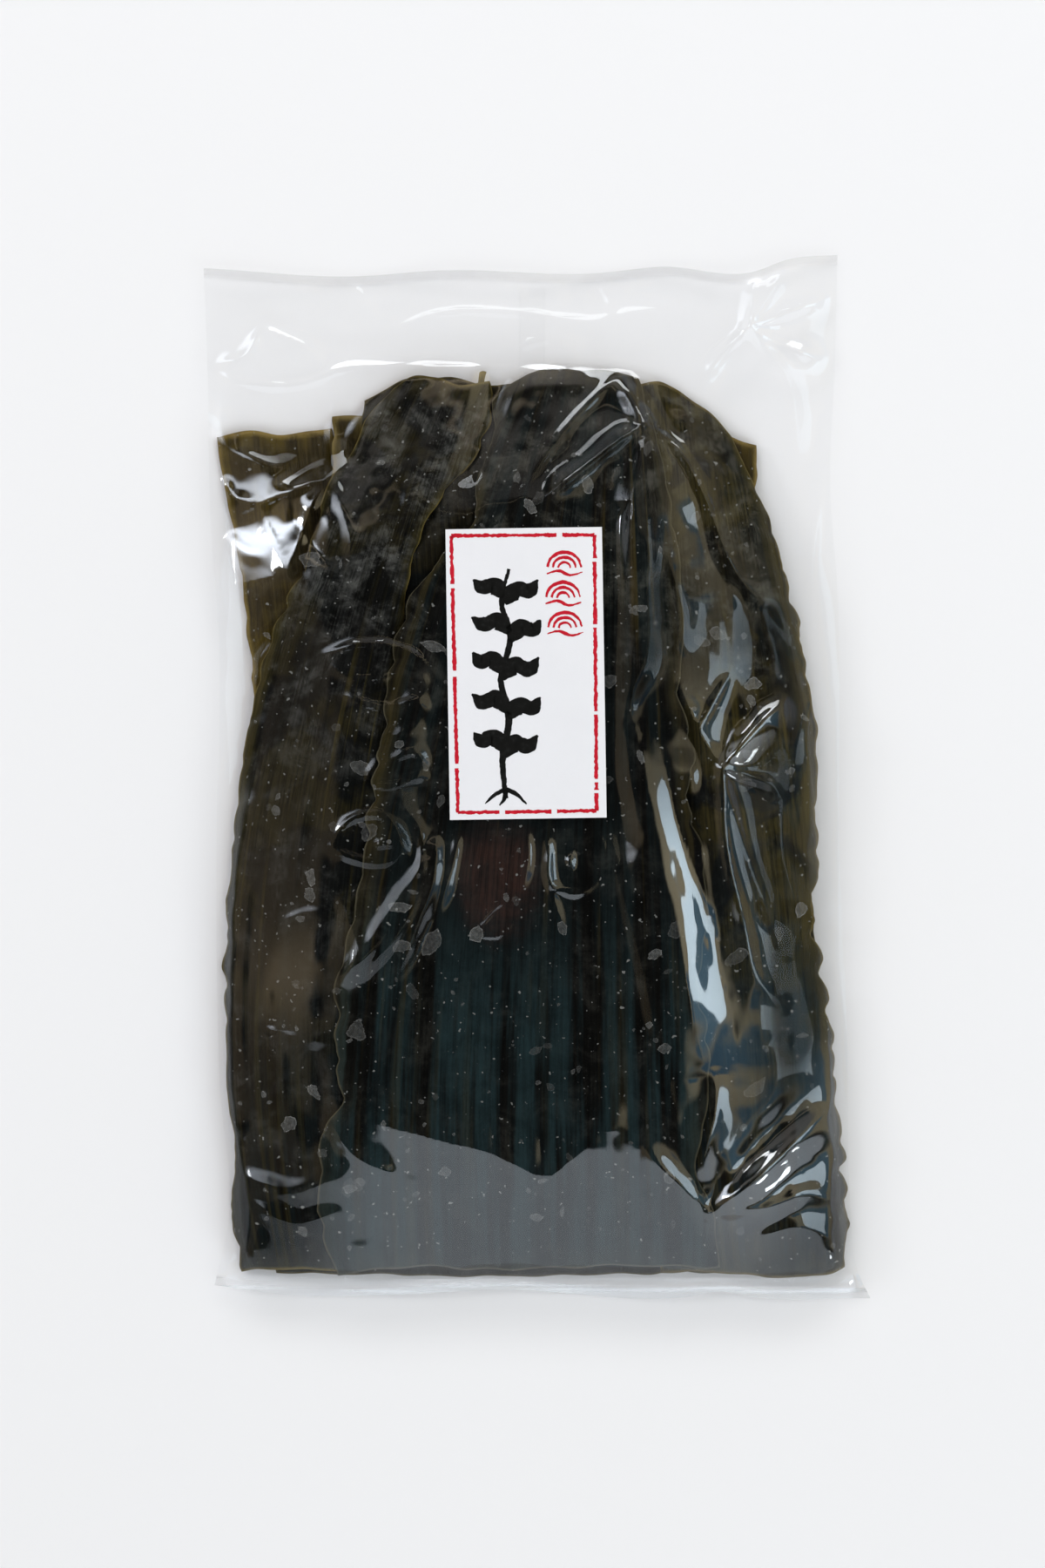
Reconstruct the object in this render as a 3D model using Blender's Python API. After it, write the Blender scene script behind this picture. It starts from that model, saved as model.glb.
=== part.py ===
"""A sealed clear bag of dried kelp blades, lying on its back, with a paper label stuck on its front.

Blender 4.5, metres, +Z up. The origin is on the surface the bag lies on, under the middle of its box:
+X runs to the bag's right, +Y to its top seal, and the front with the label faces +Z.
The bag is one closed solid out to its film, and the label is a thin sheet that lies just above it.
"""

import bmesh
import bpy
import numpy as np

MM = 0.001

# The bag's edges in mm: x of each side at some heights y, and y of each seal at some places x.
LEFT_SIDE = [(-164, -104.0), (-143, -99.4), (-100, -102.1), (-25, -103.3), (45, -102.5), (80, -105.0),
             (164, -107.5)]
RIGHT_SIDE = [(-168.5, 107.6), (-160, 103.6), (-140, 101.2), (-78, 99.7), (-30, 97.6), (57, 96.9),
              (96, 94.4), (132, 96.0), (168.5, 97.0)]
BOTTOM_SEAL = [(-104, -164.0), (-82, -167.2), (-48, -167.4), (-16, -165.5), (49, -167.7), (59, -166.0),
               (68, -167.7), (107.6, -168.5)]
TOP_SEAL = [(-107.5, 164.0), (-61, 161.5), (-32, 163.3), (18, 162.5), (40, 164.6), (70, 162.9), (81, 166.9),
            (97, 168.5)]

# Outlines of the kelp under the film, in mm, clockwise: the whole fan, and its three front blades.
FAN = [(-103.5, 110.3), (-66, 112.6), (-65, 116), (-56, 122), (-41, 128.5), (-17, 129.4), (-14, 121.5),
       (-4, 129.4), (8, 130.8), (33, 128.8), (41, 127.4), (52.5, 119.6), (63, 109.5), (71, 107.8),
       (72, 88.5), (83, 57), (90, 19), (91, -41), (88, -49), (95, -83), (98, -108), (100, -158),
       (62, -161), (-10, -157), (-64, -160), (-94.5, -159), (-99.5, -143), (-97, -120), (-101, -101),
       (-101, -51), (-98, -23), (-91, 25), (-94, 51)]
LEFT_BLADE = [(-41, 128.5), (-17, 129.4), (-15, 118), (-22, 98), (-38, 74), (-46, 37), (-51, -2),
              (-57, -42), (-65, -78), (-68, -112), (-66, -160), (-94, -159), (-97, -120), (-101, -101),
              (-101, -51), (-98, -23), (-91, 25), (-77, 60), (-65, 97), (-56, 116)]
MIDDLE_BLADE = [(-14, 121), (-4, 129.4), (8, 130.8), (33, 128.8), (44, 100), (47, 53), (45, 23),
                (50, -5), (54, -28), (51, -66), (54, -99), (52, -127), (59, -157), (-10, -157),
                (-64, -160), (-70, -143), (-68, -112), (-64, -70), (-56, -30), (-50, 5), (-30, 60),
                (-19, 90)]
RIGHT_BLADE = [(41, 127.4), (52.5, 119.6), (63, 109.5), (72, 88.5), (83, 57), (90, 19), (91, -41),
               (88, -49), (95, -83), (98, -108), (100, -158), (62, -161), (52, -127), (54, -99),
               (51, -66), (54, -28), (50, -5), (45, 23), (47, 53), (44, 100)]
BLADE_STEPS = [(LEFT_BLADE, 1.5), (MIDDLE_BLADE, 2.6), (RIGHT_BLADE, 2.0)]
STEP_WIDTH = 2.6
CORNER_REACH = 9.0
CORNER_POINTS = 4
RUFFLE = 0.9
RUFFLE_PITCHES = (11.5, 17.0)
RUFFLE_REACH = 5.0

# Lengthwise pleats of the middle blade below the label, which fan out from a point above the bag, in mm.
PLEAT_ORIGIN = (-4.0, 300.0)
PLEAT_ANGLES = (0.034, 0.055)
PLEAT_HEIGHT = 0.2
PLEATED_ENDS = ((-165, -150), (-95, -20))

# Height of the film in mm over the fan's rim and over its middle, at some places y up the bag.
RIM_OF_FAN = [(-168, 11.0), (-150, 11.0), (-115, 8.0), (40, 7.5), (95, 6.0), (130, 6.5)]
CROWN_OF_FAN = [(-168, 13.0), (-140, 17.0), (-90, 20.0), (-20, 22.0), (50, 20.6), (95, 16.4), (130, 9.5)]
CROWN_REACH = 44.0
SIDE_LEVEL = 4.6
SEAL_LEVEL = 2.4
SEAL_WAVE = 1.1
SEAL_BAND = 3.4
RIM_THICKNESS = 0.9
UNDERSIDE_REACH = 0.75

# Folds of the slack film in mm: where several meet, and where each runs to, with its half width and height.
FOLDS = [
    ((35, 113), (-4, 84), 4.0, 2.6),
    ((35, 113), (27, 48), 3.6, 2.4),
    ((35, 113), (73, 52), 3.8, 2.6),
    ((35, 113), (29, 129), 4.0, 1.6),
    ((24, 23), (33, 42), 3.4, 1.6),
    ((24, 6), (51, -117), 3.6, 2.2),
    ((58, 3), (81, 24), 4.6, 3.0),
    ((58, 3), (72, -84), 3.8, 2.4),
    ((58, 3), (66, 46), 3.6, 1.8),
    ((54, -140), (97, -104), 4.4, 3.2),
    ((54, -140), (37, -122), 3.6, 1.6),
    ((-65, 97), (-94, 70), 5.0, 2.4),
    ((-62, -64), (-34, -28), 4.2, 2.4),
    ((88, 133), (66, 132), 3.6, 1.8),
    ((66, 132), (75, 166), 3.4, 1.8),
    ((-80, 134), (-50, 128), 4.0, 1.6),
]

# The label in mm and degrees, and the film under it, which its paper holds nearly flat.
LABEL_SIZE = (49.8, 92.5)
LABEL_CENTRE = (-3.6, 32.8)
LABEL_TURN = 0.9
LABEL_THICKNESS = 0.3
LABEL_GAP = 0.3
LABEL_BED = 24.0
LABEL_BED_TILT = 0.03
LABEL_BED_RADII = (520.0, 900.0)
BED_MARGINS = (6.0, 17.0)

BAG_CELLS = (150, 230)
BAG_FACES_KEPT = 0.067
LABEL_CELLS = (6, 8)
FLOOR_REACH = 0.05
FLAT_ANGLE = np.radians(0.05)


def smoothstep(low, high, value):
    """0 below low, 1 above high and a smooth rise between."""
    t = np.clip((value - low) / (high - low), 0.0, 1.0)
    return t * t * (3.0 - 2.0 * t)


def curve_through(points, at):
    """A smooth curve through (place, value) points, read at the places in at."""
    places, values = (np.array(column, float) for column in zip(*points))
    slopes = np.gradient(values, places)
    at = np.clip(at, places[0], places[-1])
    k = np.clip(np.searchsorted(places, at) - 1, 0, len(places) - 2)
    width = places[k + 1] - places[k]
    t = (at - places[k]) / width
    return (
        values[k] * (1 + 2 * t) * (1 - t) ** 2
        + slopes[k] * width * t * (1 - t) ** 2
        + values[k + 1] * t * t * (3 - 2 * t)
        + slopes[k + 1] * width * t * t * (t - 1)
    )


def distance_inside(outline, x, y):
    """Distance in mm from each point to a closed outline, positive inside and negative outside."""
    nearest = np.full(x.shape, np.inf)
    crossings = np.zeros(x.shape, int)
    for (ax, ay), (bx, by) in zip(outline, outline[1:] + outline[:1]):
        dx, dy = bx - ax, by - ay
        t = np.clip(((x - ax) * dx + (y - ay) * dy) / (dx * dx + dy * dy), 0.0, 1.0)
        nearest = np.minimum(nearest, np.hypot(x - ax - t * dx, y - ay - t * dy))
        if ay != by:
            reaches = (y < ay) != (y < by)
            crossings += reaches & (x < ax + (y - ay) * dx / dy)
    return np.where(crossings % 2 == 1, nearest, -nearest)


def bag_outline():
    """The bag's own edge as a closed list of points, clockwise from its bottom left corner."""
    left = [(x, y) for y, x in LEFT_SIDE]
    right = [(x, y) for y, x in reversed(RIGHT_SIDE)]
    return left[:-1] + TOP_SEAL[:-1] + right[:-1] + BOTTOM_SEAL[:0:-1]


def fold_height(x, y, start, end, half_width, height):
    """A ridge that is sharpest where it starts, and widens and fades towards its end."""
    (ax, ay), (bx, by) = start, end
    dx, dy = bx - ax, by - ay
    along = np.clip(((x - ax) * dx + (y - ay) * dy) / (dx * dx + dy * dy), 0.0, 1.0)
    away = np.hypot(x - ax - along * dx, y - ay - along * dy)
    width = half_width * (0.6 + 0.8 * along)
    fade = np.minimum(1.0, 4.0 * along + 0.25) * (1.0 - along) ** 0.6
    return height * fade * np.exp(-((away / width) ** 2))


def rounded(outline):
    """The outline with each corner cut back to a short curve."""
    corners = [np.array(corner, float) for corner in outline]
    points = []
    for before, corner, after in zip(corners[-1:] + corners[:-1], corners, corners[1:] + corners[:1]):
        start, end = (
            corner + (other - corner) * min(CORNER_REACH / np.hypot(*(other - corner)), 0.45)
            for other in (before, after)
        )
        for t in np.linspace(0.0, 1.0, CORNER_POINTS):
            points.append((1 - t) ** 2 * start + 2 * t * (1 - t) * corner + t * t * end)
    return points


def pleat_height(x, y):
    """Rounded lengthwise ridges that spread towards the bottom of the bag."""
    fan_angle = np.arctan2(x - PLEAT_ORIGIN[0], PLEAT_ORIGIN[1] - y)
    (low, low_full), (high_full, high) = PLEATED_ENDS
    shown = smoothstep(low, low_full, y) * (1.0 - smoothstep(high_full, high, y))
    return PLEAT_HEIGHT * shown * sum(np.cos(2 * np.pi * fan_angle / angle) for angle in PLEAT_ANGLES)


def label_place(x, y):
    """Places on the bag as places on the label, from its centre along its own edges."""
    turn = np.radians(LABEL_TURN)
    x, y = x - LABEL_CENTRE[0], y - LABEL_CENTRE[1]
    return x * np.cos(turn) + y * np.sin(turn), y * np.cos(turn) - x * np.sin(turn)


def label_bed(x, y):
    """Height of the gently arched film that the label is stuck on."""
    u, v = label_place(x, y)
    arch = u * u / (2 * LABEL_BED_RADII[0]) + v * v / (2 * LABEL_BED_RADII[1])
    return LABEL_BED - LABEL_BED_TILT * v - arch


def film_heights(x, y):
    """Heights in mm of the bag's back and front film over each point."""
    end = smoothstep(95.0, 150.0, np.abs(y))
    to_fan = distance_inside(FAN, x, y)
    waves = sum(np.sin(2 * np.pi * y / pitch) for pitch in RUFFLE_PITCHES) / len(RUFFLE_PITCHES)
    to_fan += RUFFLE * waves * np.exp(-((to_fan / RUFFLE_REACH) ** 2))
    to_edge = np.maximum(distance_inside(bag_outline(), x, y) - SEAL_BAND * end, 0.0)
    outside = np.maximum(-to_fan, 0.0)
    tent = to_edge / np.maximum(to_edge + outside, 1e-6)

    edge = SIDE_LEVEL + (SEAL_LEVEL - SIDE_LEVEL) * end + SEAL_WAVE * end * np.sin(x / 13.0 + y / 60.0)
    rim = curve_through(RIM_OF_FAN, y)
    crown = curve_through(CROWN_OF_FAN, y)
    front = edge + (rim - edge) * tent ** 0.8
    front += (crown - rim) * np.sin(np.clip(to_fan / CROWN_REACH, 0.0, 1.0) * np.pi / 2)
    for outline, step in BLADE_STEPS:
        to_blade = distance_inside(rounded(outline), x, y)
        front += step * smoothstep(-STEP_WIDTH, STEP_WIDTH, to_blade) * tent
    front += pleat_height(x, y) * smoothstep(0.0, 6.0, distance_inside(MIDDLE_BLADE, x, y))
    for fold in FOLDS:
        front += fold_height(x, y, *fold) * smoothstep(0.0, 6.0, to_edge)

    u, v = label_place(x, y)
    off_label = np.maximum(np.abs(u) - LABEL_SIZE[0] / 2, np.abs(v) - LABEL_SIZE[1] / 2)
    free = smoothstep(*BED_MARGINS, off_label)
    front = label_bed(x, y) * (1 - free) + front * free

    lifted = np.clip((1.0 - tent) / UNDERSIDE_REACH, 0.0, 1.0)
    back = (edge - RIM_THICKNESS) * lifted ** 1.4
    return np.maximum(back, 0.0), np.maximum(front, back + RIM_THICKNESS)


def bag_places(u, v):
    """Places in mm inside the bag's four edges, for u from left to right and v from bottom to top."""
    left_y = LEFT_SIDE[0][0] + v * (LEFT_SIDE[-1][0] - LEFT_SIDE[0][0])
    right_y = RIGHT_SIDE[0][0] + v * (RIGHT_SIDE[-1][0] - RIGHT_SIDE[0][0])
    bottom_x = BOTTOM_SEAL[0][0] + u * (BOTTOM_SEAL[-1][0] - BOTTOM_SEAL[0][0])
    top_x = TOP_SEAL[0][0] + u * (TOP_SEAL[-1][0] - TOP_SEAL[0][0])
    left = np.stack([curve_through(LEFT_SIDE, left_y), left_y])
    right = np.stack([curve_through(RIGHT_SIDE, right_y), right_y])
    bottom = np.stack([bottom_x, curve_through(BOTTOM_SEAL, bottom_x)])
    top = np.stack([top_x, curve_through(TOP_SEAL, top_x)])
    corners = (
        np.outer(BOTTOM_SEAL[0], (1 - u) * (1 - v))
        + np.outer(BOTTOM_SEAL[-1], u * (1 - v))
        + np.outer(TOP_SEAL[0], (1 - u) * v)
        + np.outer(TOP_SEAL[-1], u * v)
    )
    return (1 - u) * left + u * right + (1 - v) * bottom + v * top - corners


def bag_surfaces(u, v):
    """The bag's back and front points for grid places u, v."""
    x, y = bag_places(u, v)
    back, front = film_heights(x, y)
    return np.stack([x, y, back]), np.stack([x, y, front])


def label_surfaces(u, v):
    """The label's underside and face for grid places u, v."""
    across, up = (u - 0.5) * LABEL_SIZE[0], (v - 0.5) * LABEL_SIZE[1]
    turn = np.radians(LABEL_TURN)
    x = LABEL_CENTRE[0] + across * np.cos(turn) - up * np.sin(turn)
    y = LABEL_CENTRE[1] + across * np.sin(turn) + up * np.cos(turn)
    under = label_bed(x, y) + LABEL_GAP
    return np.stack([x, y, under]), np.stack([x, y, under + LABEL_THICKNESS])


def solid_between(name, cells, surfaces, material):
    """A closed solid between two surfaces over one grid of cells, as an object at the origin."""
    bm = bmesh.new()
    bmesh.ops.create_grid(bm, x_segments=cells[0], y_segments=cells[1], size=0.5)
    lower = list(bm.verts)
    raised = bmesh.ops.extrude_face_region(bm, geom=list(bm.faces))["geom"]
    upper = [item for item in raised if isinstance(item, bmesh.types.BMVert)]
    for verts, surface in ((lower, 0), (upper, 1)):
        u = np.array([vert.co.x for vert in verts]) + 0.5
        v = np.array([vert.co.y for vert in verts]) + 0.5
        for vert, place in zip(verts, surfaces(u, v)[surface].T):
            vert.co = place * MM
    bmesh.ops.recalc_face_normals(bm, faces=bm.faces)
    mesh = bpy.data.meshes.new(name)
    bm.to_mesh(mesh)
    bm.free()
    mesh.shade_smooth()
    mesh.set_sharp_from_angle(angle=np.radians(40))
    mesh.materials.append(material)
    item = bpy.data.objects.new(name, mesh)
    bpy.context.scene.collection.objects.link(item)
    return item


def with_fewer_faces(item, kept):
    """Thins out the item's faces where it is smooth, and presses its underside flat."""
    fewer_faces = item.modifiers.new("fewer_faces", "DECIMATE")
    fewer_faces.ratio = kept
    thinned = bpy.data.meshes.new_from_object(item.evaluated_get(bpy.context.evaluated_depsgraph_get()))
    item.modifiers.remove(fewer_faces)
    bm = bmesh.new()
    bm.from_mesh(thinned)
    bpy.data.meshes.remove(thinned)
    underside = {vert for vert in bm.verts if vert.co.z < FLOOR_REACH * MM}
    for vert in underside:
        vert.co.z = 0.0
    flat = [edge for edge in bm.edges if underside.issuperset(edge.verts)]
    bmesh.ops.dissolve_limit(bm, angle_limit=FLAT_ANGLE, use_dissolve_boundaries=False,
                             verts=list(underside), edges=flat)
    bm.to_mesh(item.data)
    bm.free()
    item.data.shade_smooth()
    item.data.set_sharp_from_angle(angle=np.radians(40))


def finish(name, colour, roughness):
    """A plain material of one colour."""
    material = bpy.data.materials.new(name)
    material.use_nodes = True
    shader = material.node_tree.nodes["Principled BSDF"]
    shader.inputs["Base Color"].default_value = (*colour, 1.0)
    shader.inputs["Roughness"].default_value = roughness
    shader.inputs["Metallic"].default_value = 0.0
    return material


def main():
    for item in list(bpy.data.objects):
        bpy.data.objects.remove(item)
    film_over_kelp = finish("film_over_kelp", (0.055, 0.052, 0.035), 0.12)
    paper = finish("paper", (0.86, 0.86, 0.88), 0.55)
    bag = solid_between("bag", BAG_CELLS, bag_surfaces, film_over_kelp)
    with_fewer_faces(bag, BAG_FACES_KEPT)
    solid_between("label", LABEL_CELLS, label_surfaces, paper)


main()
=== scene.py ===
"""A sealed clear bag of dried kelp blades with a paper label, lying on its back on a pale floor.

Laid out as an add-on: sizes and colours are property groups, and each piece or group of like pieces has an
operator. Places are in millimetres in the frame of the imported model, and become metres in the meshes.
"""

import bmesh
import bpy
import numpy as np
from bpy.props import FloatProperty, FloatVectorProperty, PointerProperty
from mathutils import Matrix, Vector
from mathutils.bvhtree import BVHTree


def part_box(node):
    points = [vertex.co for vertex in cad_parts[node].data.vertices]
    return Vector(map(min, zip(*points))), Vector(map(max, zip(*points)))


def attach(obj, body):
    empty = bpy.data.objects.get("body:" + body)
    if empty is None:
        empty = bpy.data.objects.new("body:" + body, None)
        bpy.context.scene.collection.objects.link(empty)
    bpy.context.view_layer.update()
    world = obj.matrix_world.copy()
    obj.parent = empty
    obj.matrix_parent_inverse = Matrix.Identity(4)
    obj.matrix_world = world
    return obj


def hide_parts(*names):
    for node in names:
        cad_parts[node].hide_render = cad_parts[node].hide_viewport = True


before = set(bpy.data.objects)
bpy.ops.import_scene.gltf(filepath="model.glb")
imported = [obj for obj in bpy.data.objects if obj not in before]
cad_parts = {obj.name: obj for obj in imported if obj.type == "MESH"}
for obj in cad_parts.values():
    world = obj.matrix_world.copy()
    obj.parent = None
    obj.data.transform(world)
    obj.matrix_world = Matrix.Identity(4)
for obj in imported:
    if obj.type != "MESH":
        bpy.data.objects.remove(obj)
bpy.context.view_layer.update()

bl_info = {
    "name": "Clear Bag of Dried Kelp",
    "version": (1, 0, 0),
    "blender": (4, 5, 0),
    "location": "View3D > Sidebar > Kelp Bag",
    "description": "Builds a sealed clear bag of dried kelp blades with a paper label",
    "category": "Add Mesh",
}

MM = 0.001
BODY = "root"

# ---------------------------------------------------------------------------------------------------------
# Sizes: places in mm. Sides are (y, x) from bottom to top, and ends are (x, y) from left to right.

BAG_SIDES = {
    "left": [(-164, -104.0), (-143, -99.4), (-100, -102.1), (-25, -103.3), (45, -102.5), (80, -105.0),
             (132, -106.3), (164, -107.5)],
    "right": [(-168.5, 107.6), (-160, 103.6), (-140, 101.2), (-78, 99.7), (-30, 97.6), (57, 96.9),
              (96, 94.4), (132, 96.0), (168.5, 97.0)],
    "bottom": [(-104, -164.0), (-82, -167.2), (-48, -167.4), (-16, -165.5), (49, -167.7), (59, -166.0),
               (68, -167.7), (107.6, -168.5)],
    "top": [(-107.5, 164.0), (-61, 161.5), (-32, 163.3), (18, 162.5), (40, 164.6), (70, 162.9),
            (81, 166.9), (97, 168.5)],
}

# The blades from the back of the stack to its front.
BLADES = [
    {
        "name": "under_blade_low", "finish": "dark", "seed": 11, "ruffle": 0.8, "sway": 0.8,
        "left": [(-157, -88), (-100, -94), (0, -88), (60, -78), (104, -60)],
        "right": [(-157, 92), (-60, 86), (20, 80), (70, 66), (104, 44)],
        "bottom": [(-88, -157), (0, -158), (92, -157)],
        "top": [(-60, 104), (-20, 108), (44, 104)],
    },
    {
        "name": "under_blade_high", "finish": "dark", "seed": 12, "ruffle": 1.0, "sway": 0.8,
        "left": [(-160, -84), (-120, -92), (0, -84), (60, -72), (110, -52)],
        "right": [(-160.5, 94), (-100, 92), (0, 84), (70, 68), (112, 46)],
        "bottom": [(-84, -160), (0, -161), (50, -159.6), (94, -160.5)],
        "top": [(-52, 110), (0, 114), (46, 112)],
    },
    {
        "name": "far_left_blade", "finish": "amber", "seed": 13, "ruffle": 0.7, "sway": 0.5,
        "left": [(-150, -90), (-60, -95), (0, -92.5), (29, -91.4), (54, -94.3), (71, -96.6), (84, -99),
                 (102, -102.4), (110, -103.6)],
        "right": [(-150, -50), (0, -54), (60, -58), (112.6, -66.3)],
        "bottom": [(-90, -150), (-70, -152), (-50, -150)],
        "top": [(-103.6, 110), (-92, 111.4), (-78, 110.6), (-66.3, 112.6)],
    },
    {
        "name": "far_right_blade", "finish": "amber", "seed": 14, "ruffle": 0.7, "sway": 0.6,
        "left": [(-156, 46), (0, 40), (114, 36)],
        "right": [(-156, 93), (-100, 89), (0, 79), (60, 72), (93, 70.4), (107.6, 71)],
        "bottom": [(46, -156), (70, -158), (93, -156)],
        "top": [(36, 114), (52, 111), (62.8, 109.4), (71, 107.6)],
    },
    {
        "name": "back_left_blade", "finish": "brown", "seed": 15, "ruffle": 0.8, "sway": 0.6,
        "left": [(-140, -62), (0, -60), (60, -63), (100, -65.4), (115.8, -65.6)],
        "right": [(-140, -20), (0, -22), (118, -32)],
        "bottom": [(-62, -140), (-40, -142), (-20, -140)],
        "top": [(-65.6, 115.8), (-55, 116.2), (-32, 118)],
    },
    {
        "name": "middle_left_blade", "finish": "dark", "seed": 16, "ruffle": 0.9, "sway": 0.6,
        "left": [(-150, -52), (0, -50), (60, -51), (100, -56), (121.6, -56.2)],
        "right": [(-150, 6), (0, 4), (90, 0), (126.5, -4)],
        "bottom": [(-52, -150), (-20, -152), (6, -150)],
        "top": [(-56.2, 121.6), (-48, 125.4), (-41.4, 128.2), (-36.6, 128.4), (-30, 128.8), (-18, 126.8),
                (-4, 126.5)],
    },
    {
        "name": "right_blade", "finish": "right", "seed": 17, "ruffle": 2.1, "sway": 1.5,
        "left": [(-159.6, 40), (-100, 34), (0, 24), (100, 22), (125.6, 31)],
        "right": [(-158, 100.3), (-148, 99.8), (-131.4, 99.2), (-108, 97), (-76.5, 94.6), (-56.6, 91.4),
                  (-49, 89), (-31, 91.4), (-17, 90), (7.5, 90.4), (19, 89.6), (34, 86.6), (51, 83.4),
                  (62, 80.6), (74, 77.4), (83, 75), (90, 71.8), (100, 66.6), (109.4, 62.8)],
        "bottom": [(40, -159.6), (55.2, -159.4), (66.4, -160.4), (77, -161.2), (93.9, -160.2),
                   (100.3, -158)],
        "top": [(31, 125.6), (40.7, 127.3), (44.6, 125.3), (49.9, 121.2), (57.2, 116.4), (62.8, 109.4)],
    },
    {
        "name": "left_stem", "finish": "brown", "seed": 20, "ruffle": 0.0, "sway": 0.1,
        "left": [(123, -19.8), (127.5, -18.9), (130.2, -18.5)],
        "right": [(123, -16.6), (127.5, -17.0), (130.4, -16.3)],
        "bottom": [(-19.8, 123), (-18.2, 123), (-16.6, 123)],
        "top": [(-18.5, 130.2), (-17.4, 130.5), (-16.3, 130.4)],
    },
    {
        "name": "left_blade", "finish": "left", "seed": 18, "ruffle": 1.6, "sway": 1.1,
        "left": [(-159.6, -94.6), (-143, -98.4), (-120, -97.4), (-102, -100), (-85, -100.2), (-52, -100.4),
                 (-23.5, -98.4), (10, -94), (25, -91), (40, -87), (56, -80.5), (68.5, -74), (85, -70),
                 (96.5, -65), (107.5, -57.5), (116, -54.6), (124.6, -46)],
        "right": [(-159, -54), (-60, -48), (0, -42), (54, -42.4), (71.5, -38.8), (79, -36.6), (93, -27.4),
                  (107.5, -17.6), (121.5, -14.4), (127, -15.6)],
        "bottom": [(-94.6, -159.6), (-80, -158), (-66, -159), (-54, -159)],
        "top": [(-46, 124.6), (-41.4, 128.4), (-31, 128), (-26.6, 126.2), (-18.4, 127), (-15.6, 127)],
    },
    {
        "name": "front_blade", "finish": "front", "seed": 19, "ruffle": 1.7, "sway": 1.2,
        "left": [(-160.2, -64.3), (-156, -65.4), (-143, -69.6), (-131, -69.4), (-111, -67), (-105, -62.6),
                 (-94, -64), (-81, -63.8), (-65, -64), (-50.5, -59.8), (-33, -56.4), (-6, -52.2),
                 (11, -50), (36, -46.6), (53.7, -42), (69, -31), (80, -21), (98, -18.6), (109, -14.4),
                 (121, -14.4)],
        "right": [(-157.7, 58.9), (-150.7, 58), (-137, 55.8), (-128, 51.6), (-104, 54.6), (-81, 54),
                  (-67, 51.8), (-54, 53.2), (-28, 53.2), (-7, 48.2), (9, 49.6), (26.5, 45), (41, 46.6),
                  (70, 45.4), (90, 42), (110, 38), (128.6, 33)],
        "bottom": [(-64.3, -160.2), (-40, -157.4), (-10, -158.6), (20, -157.4), (58.9, -157.7)],
        "top": [(-14.4, 121), (-11, 124.8), (-4.1, 129.2), (1.5, 131), (18.8, 131), (25, 130.2),
                (33, 128.6)],
    },
]

FLAKED_BLADES = ("far_left_blade", "right_blade", "left_blade", "front_blade")

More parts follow.
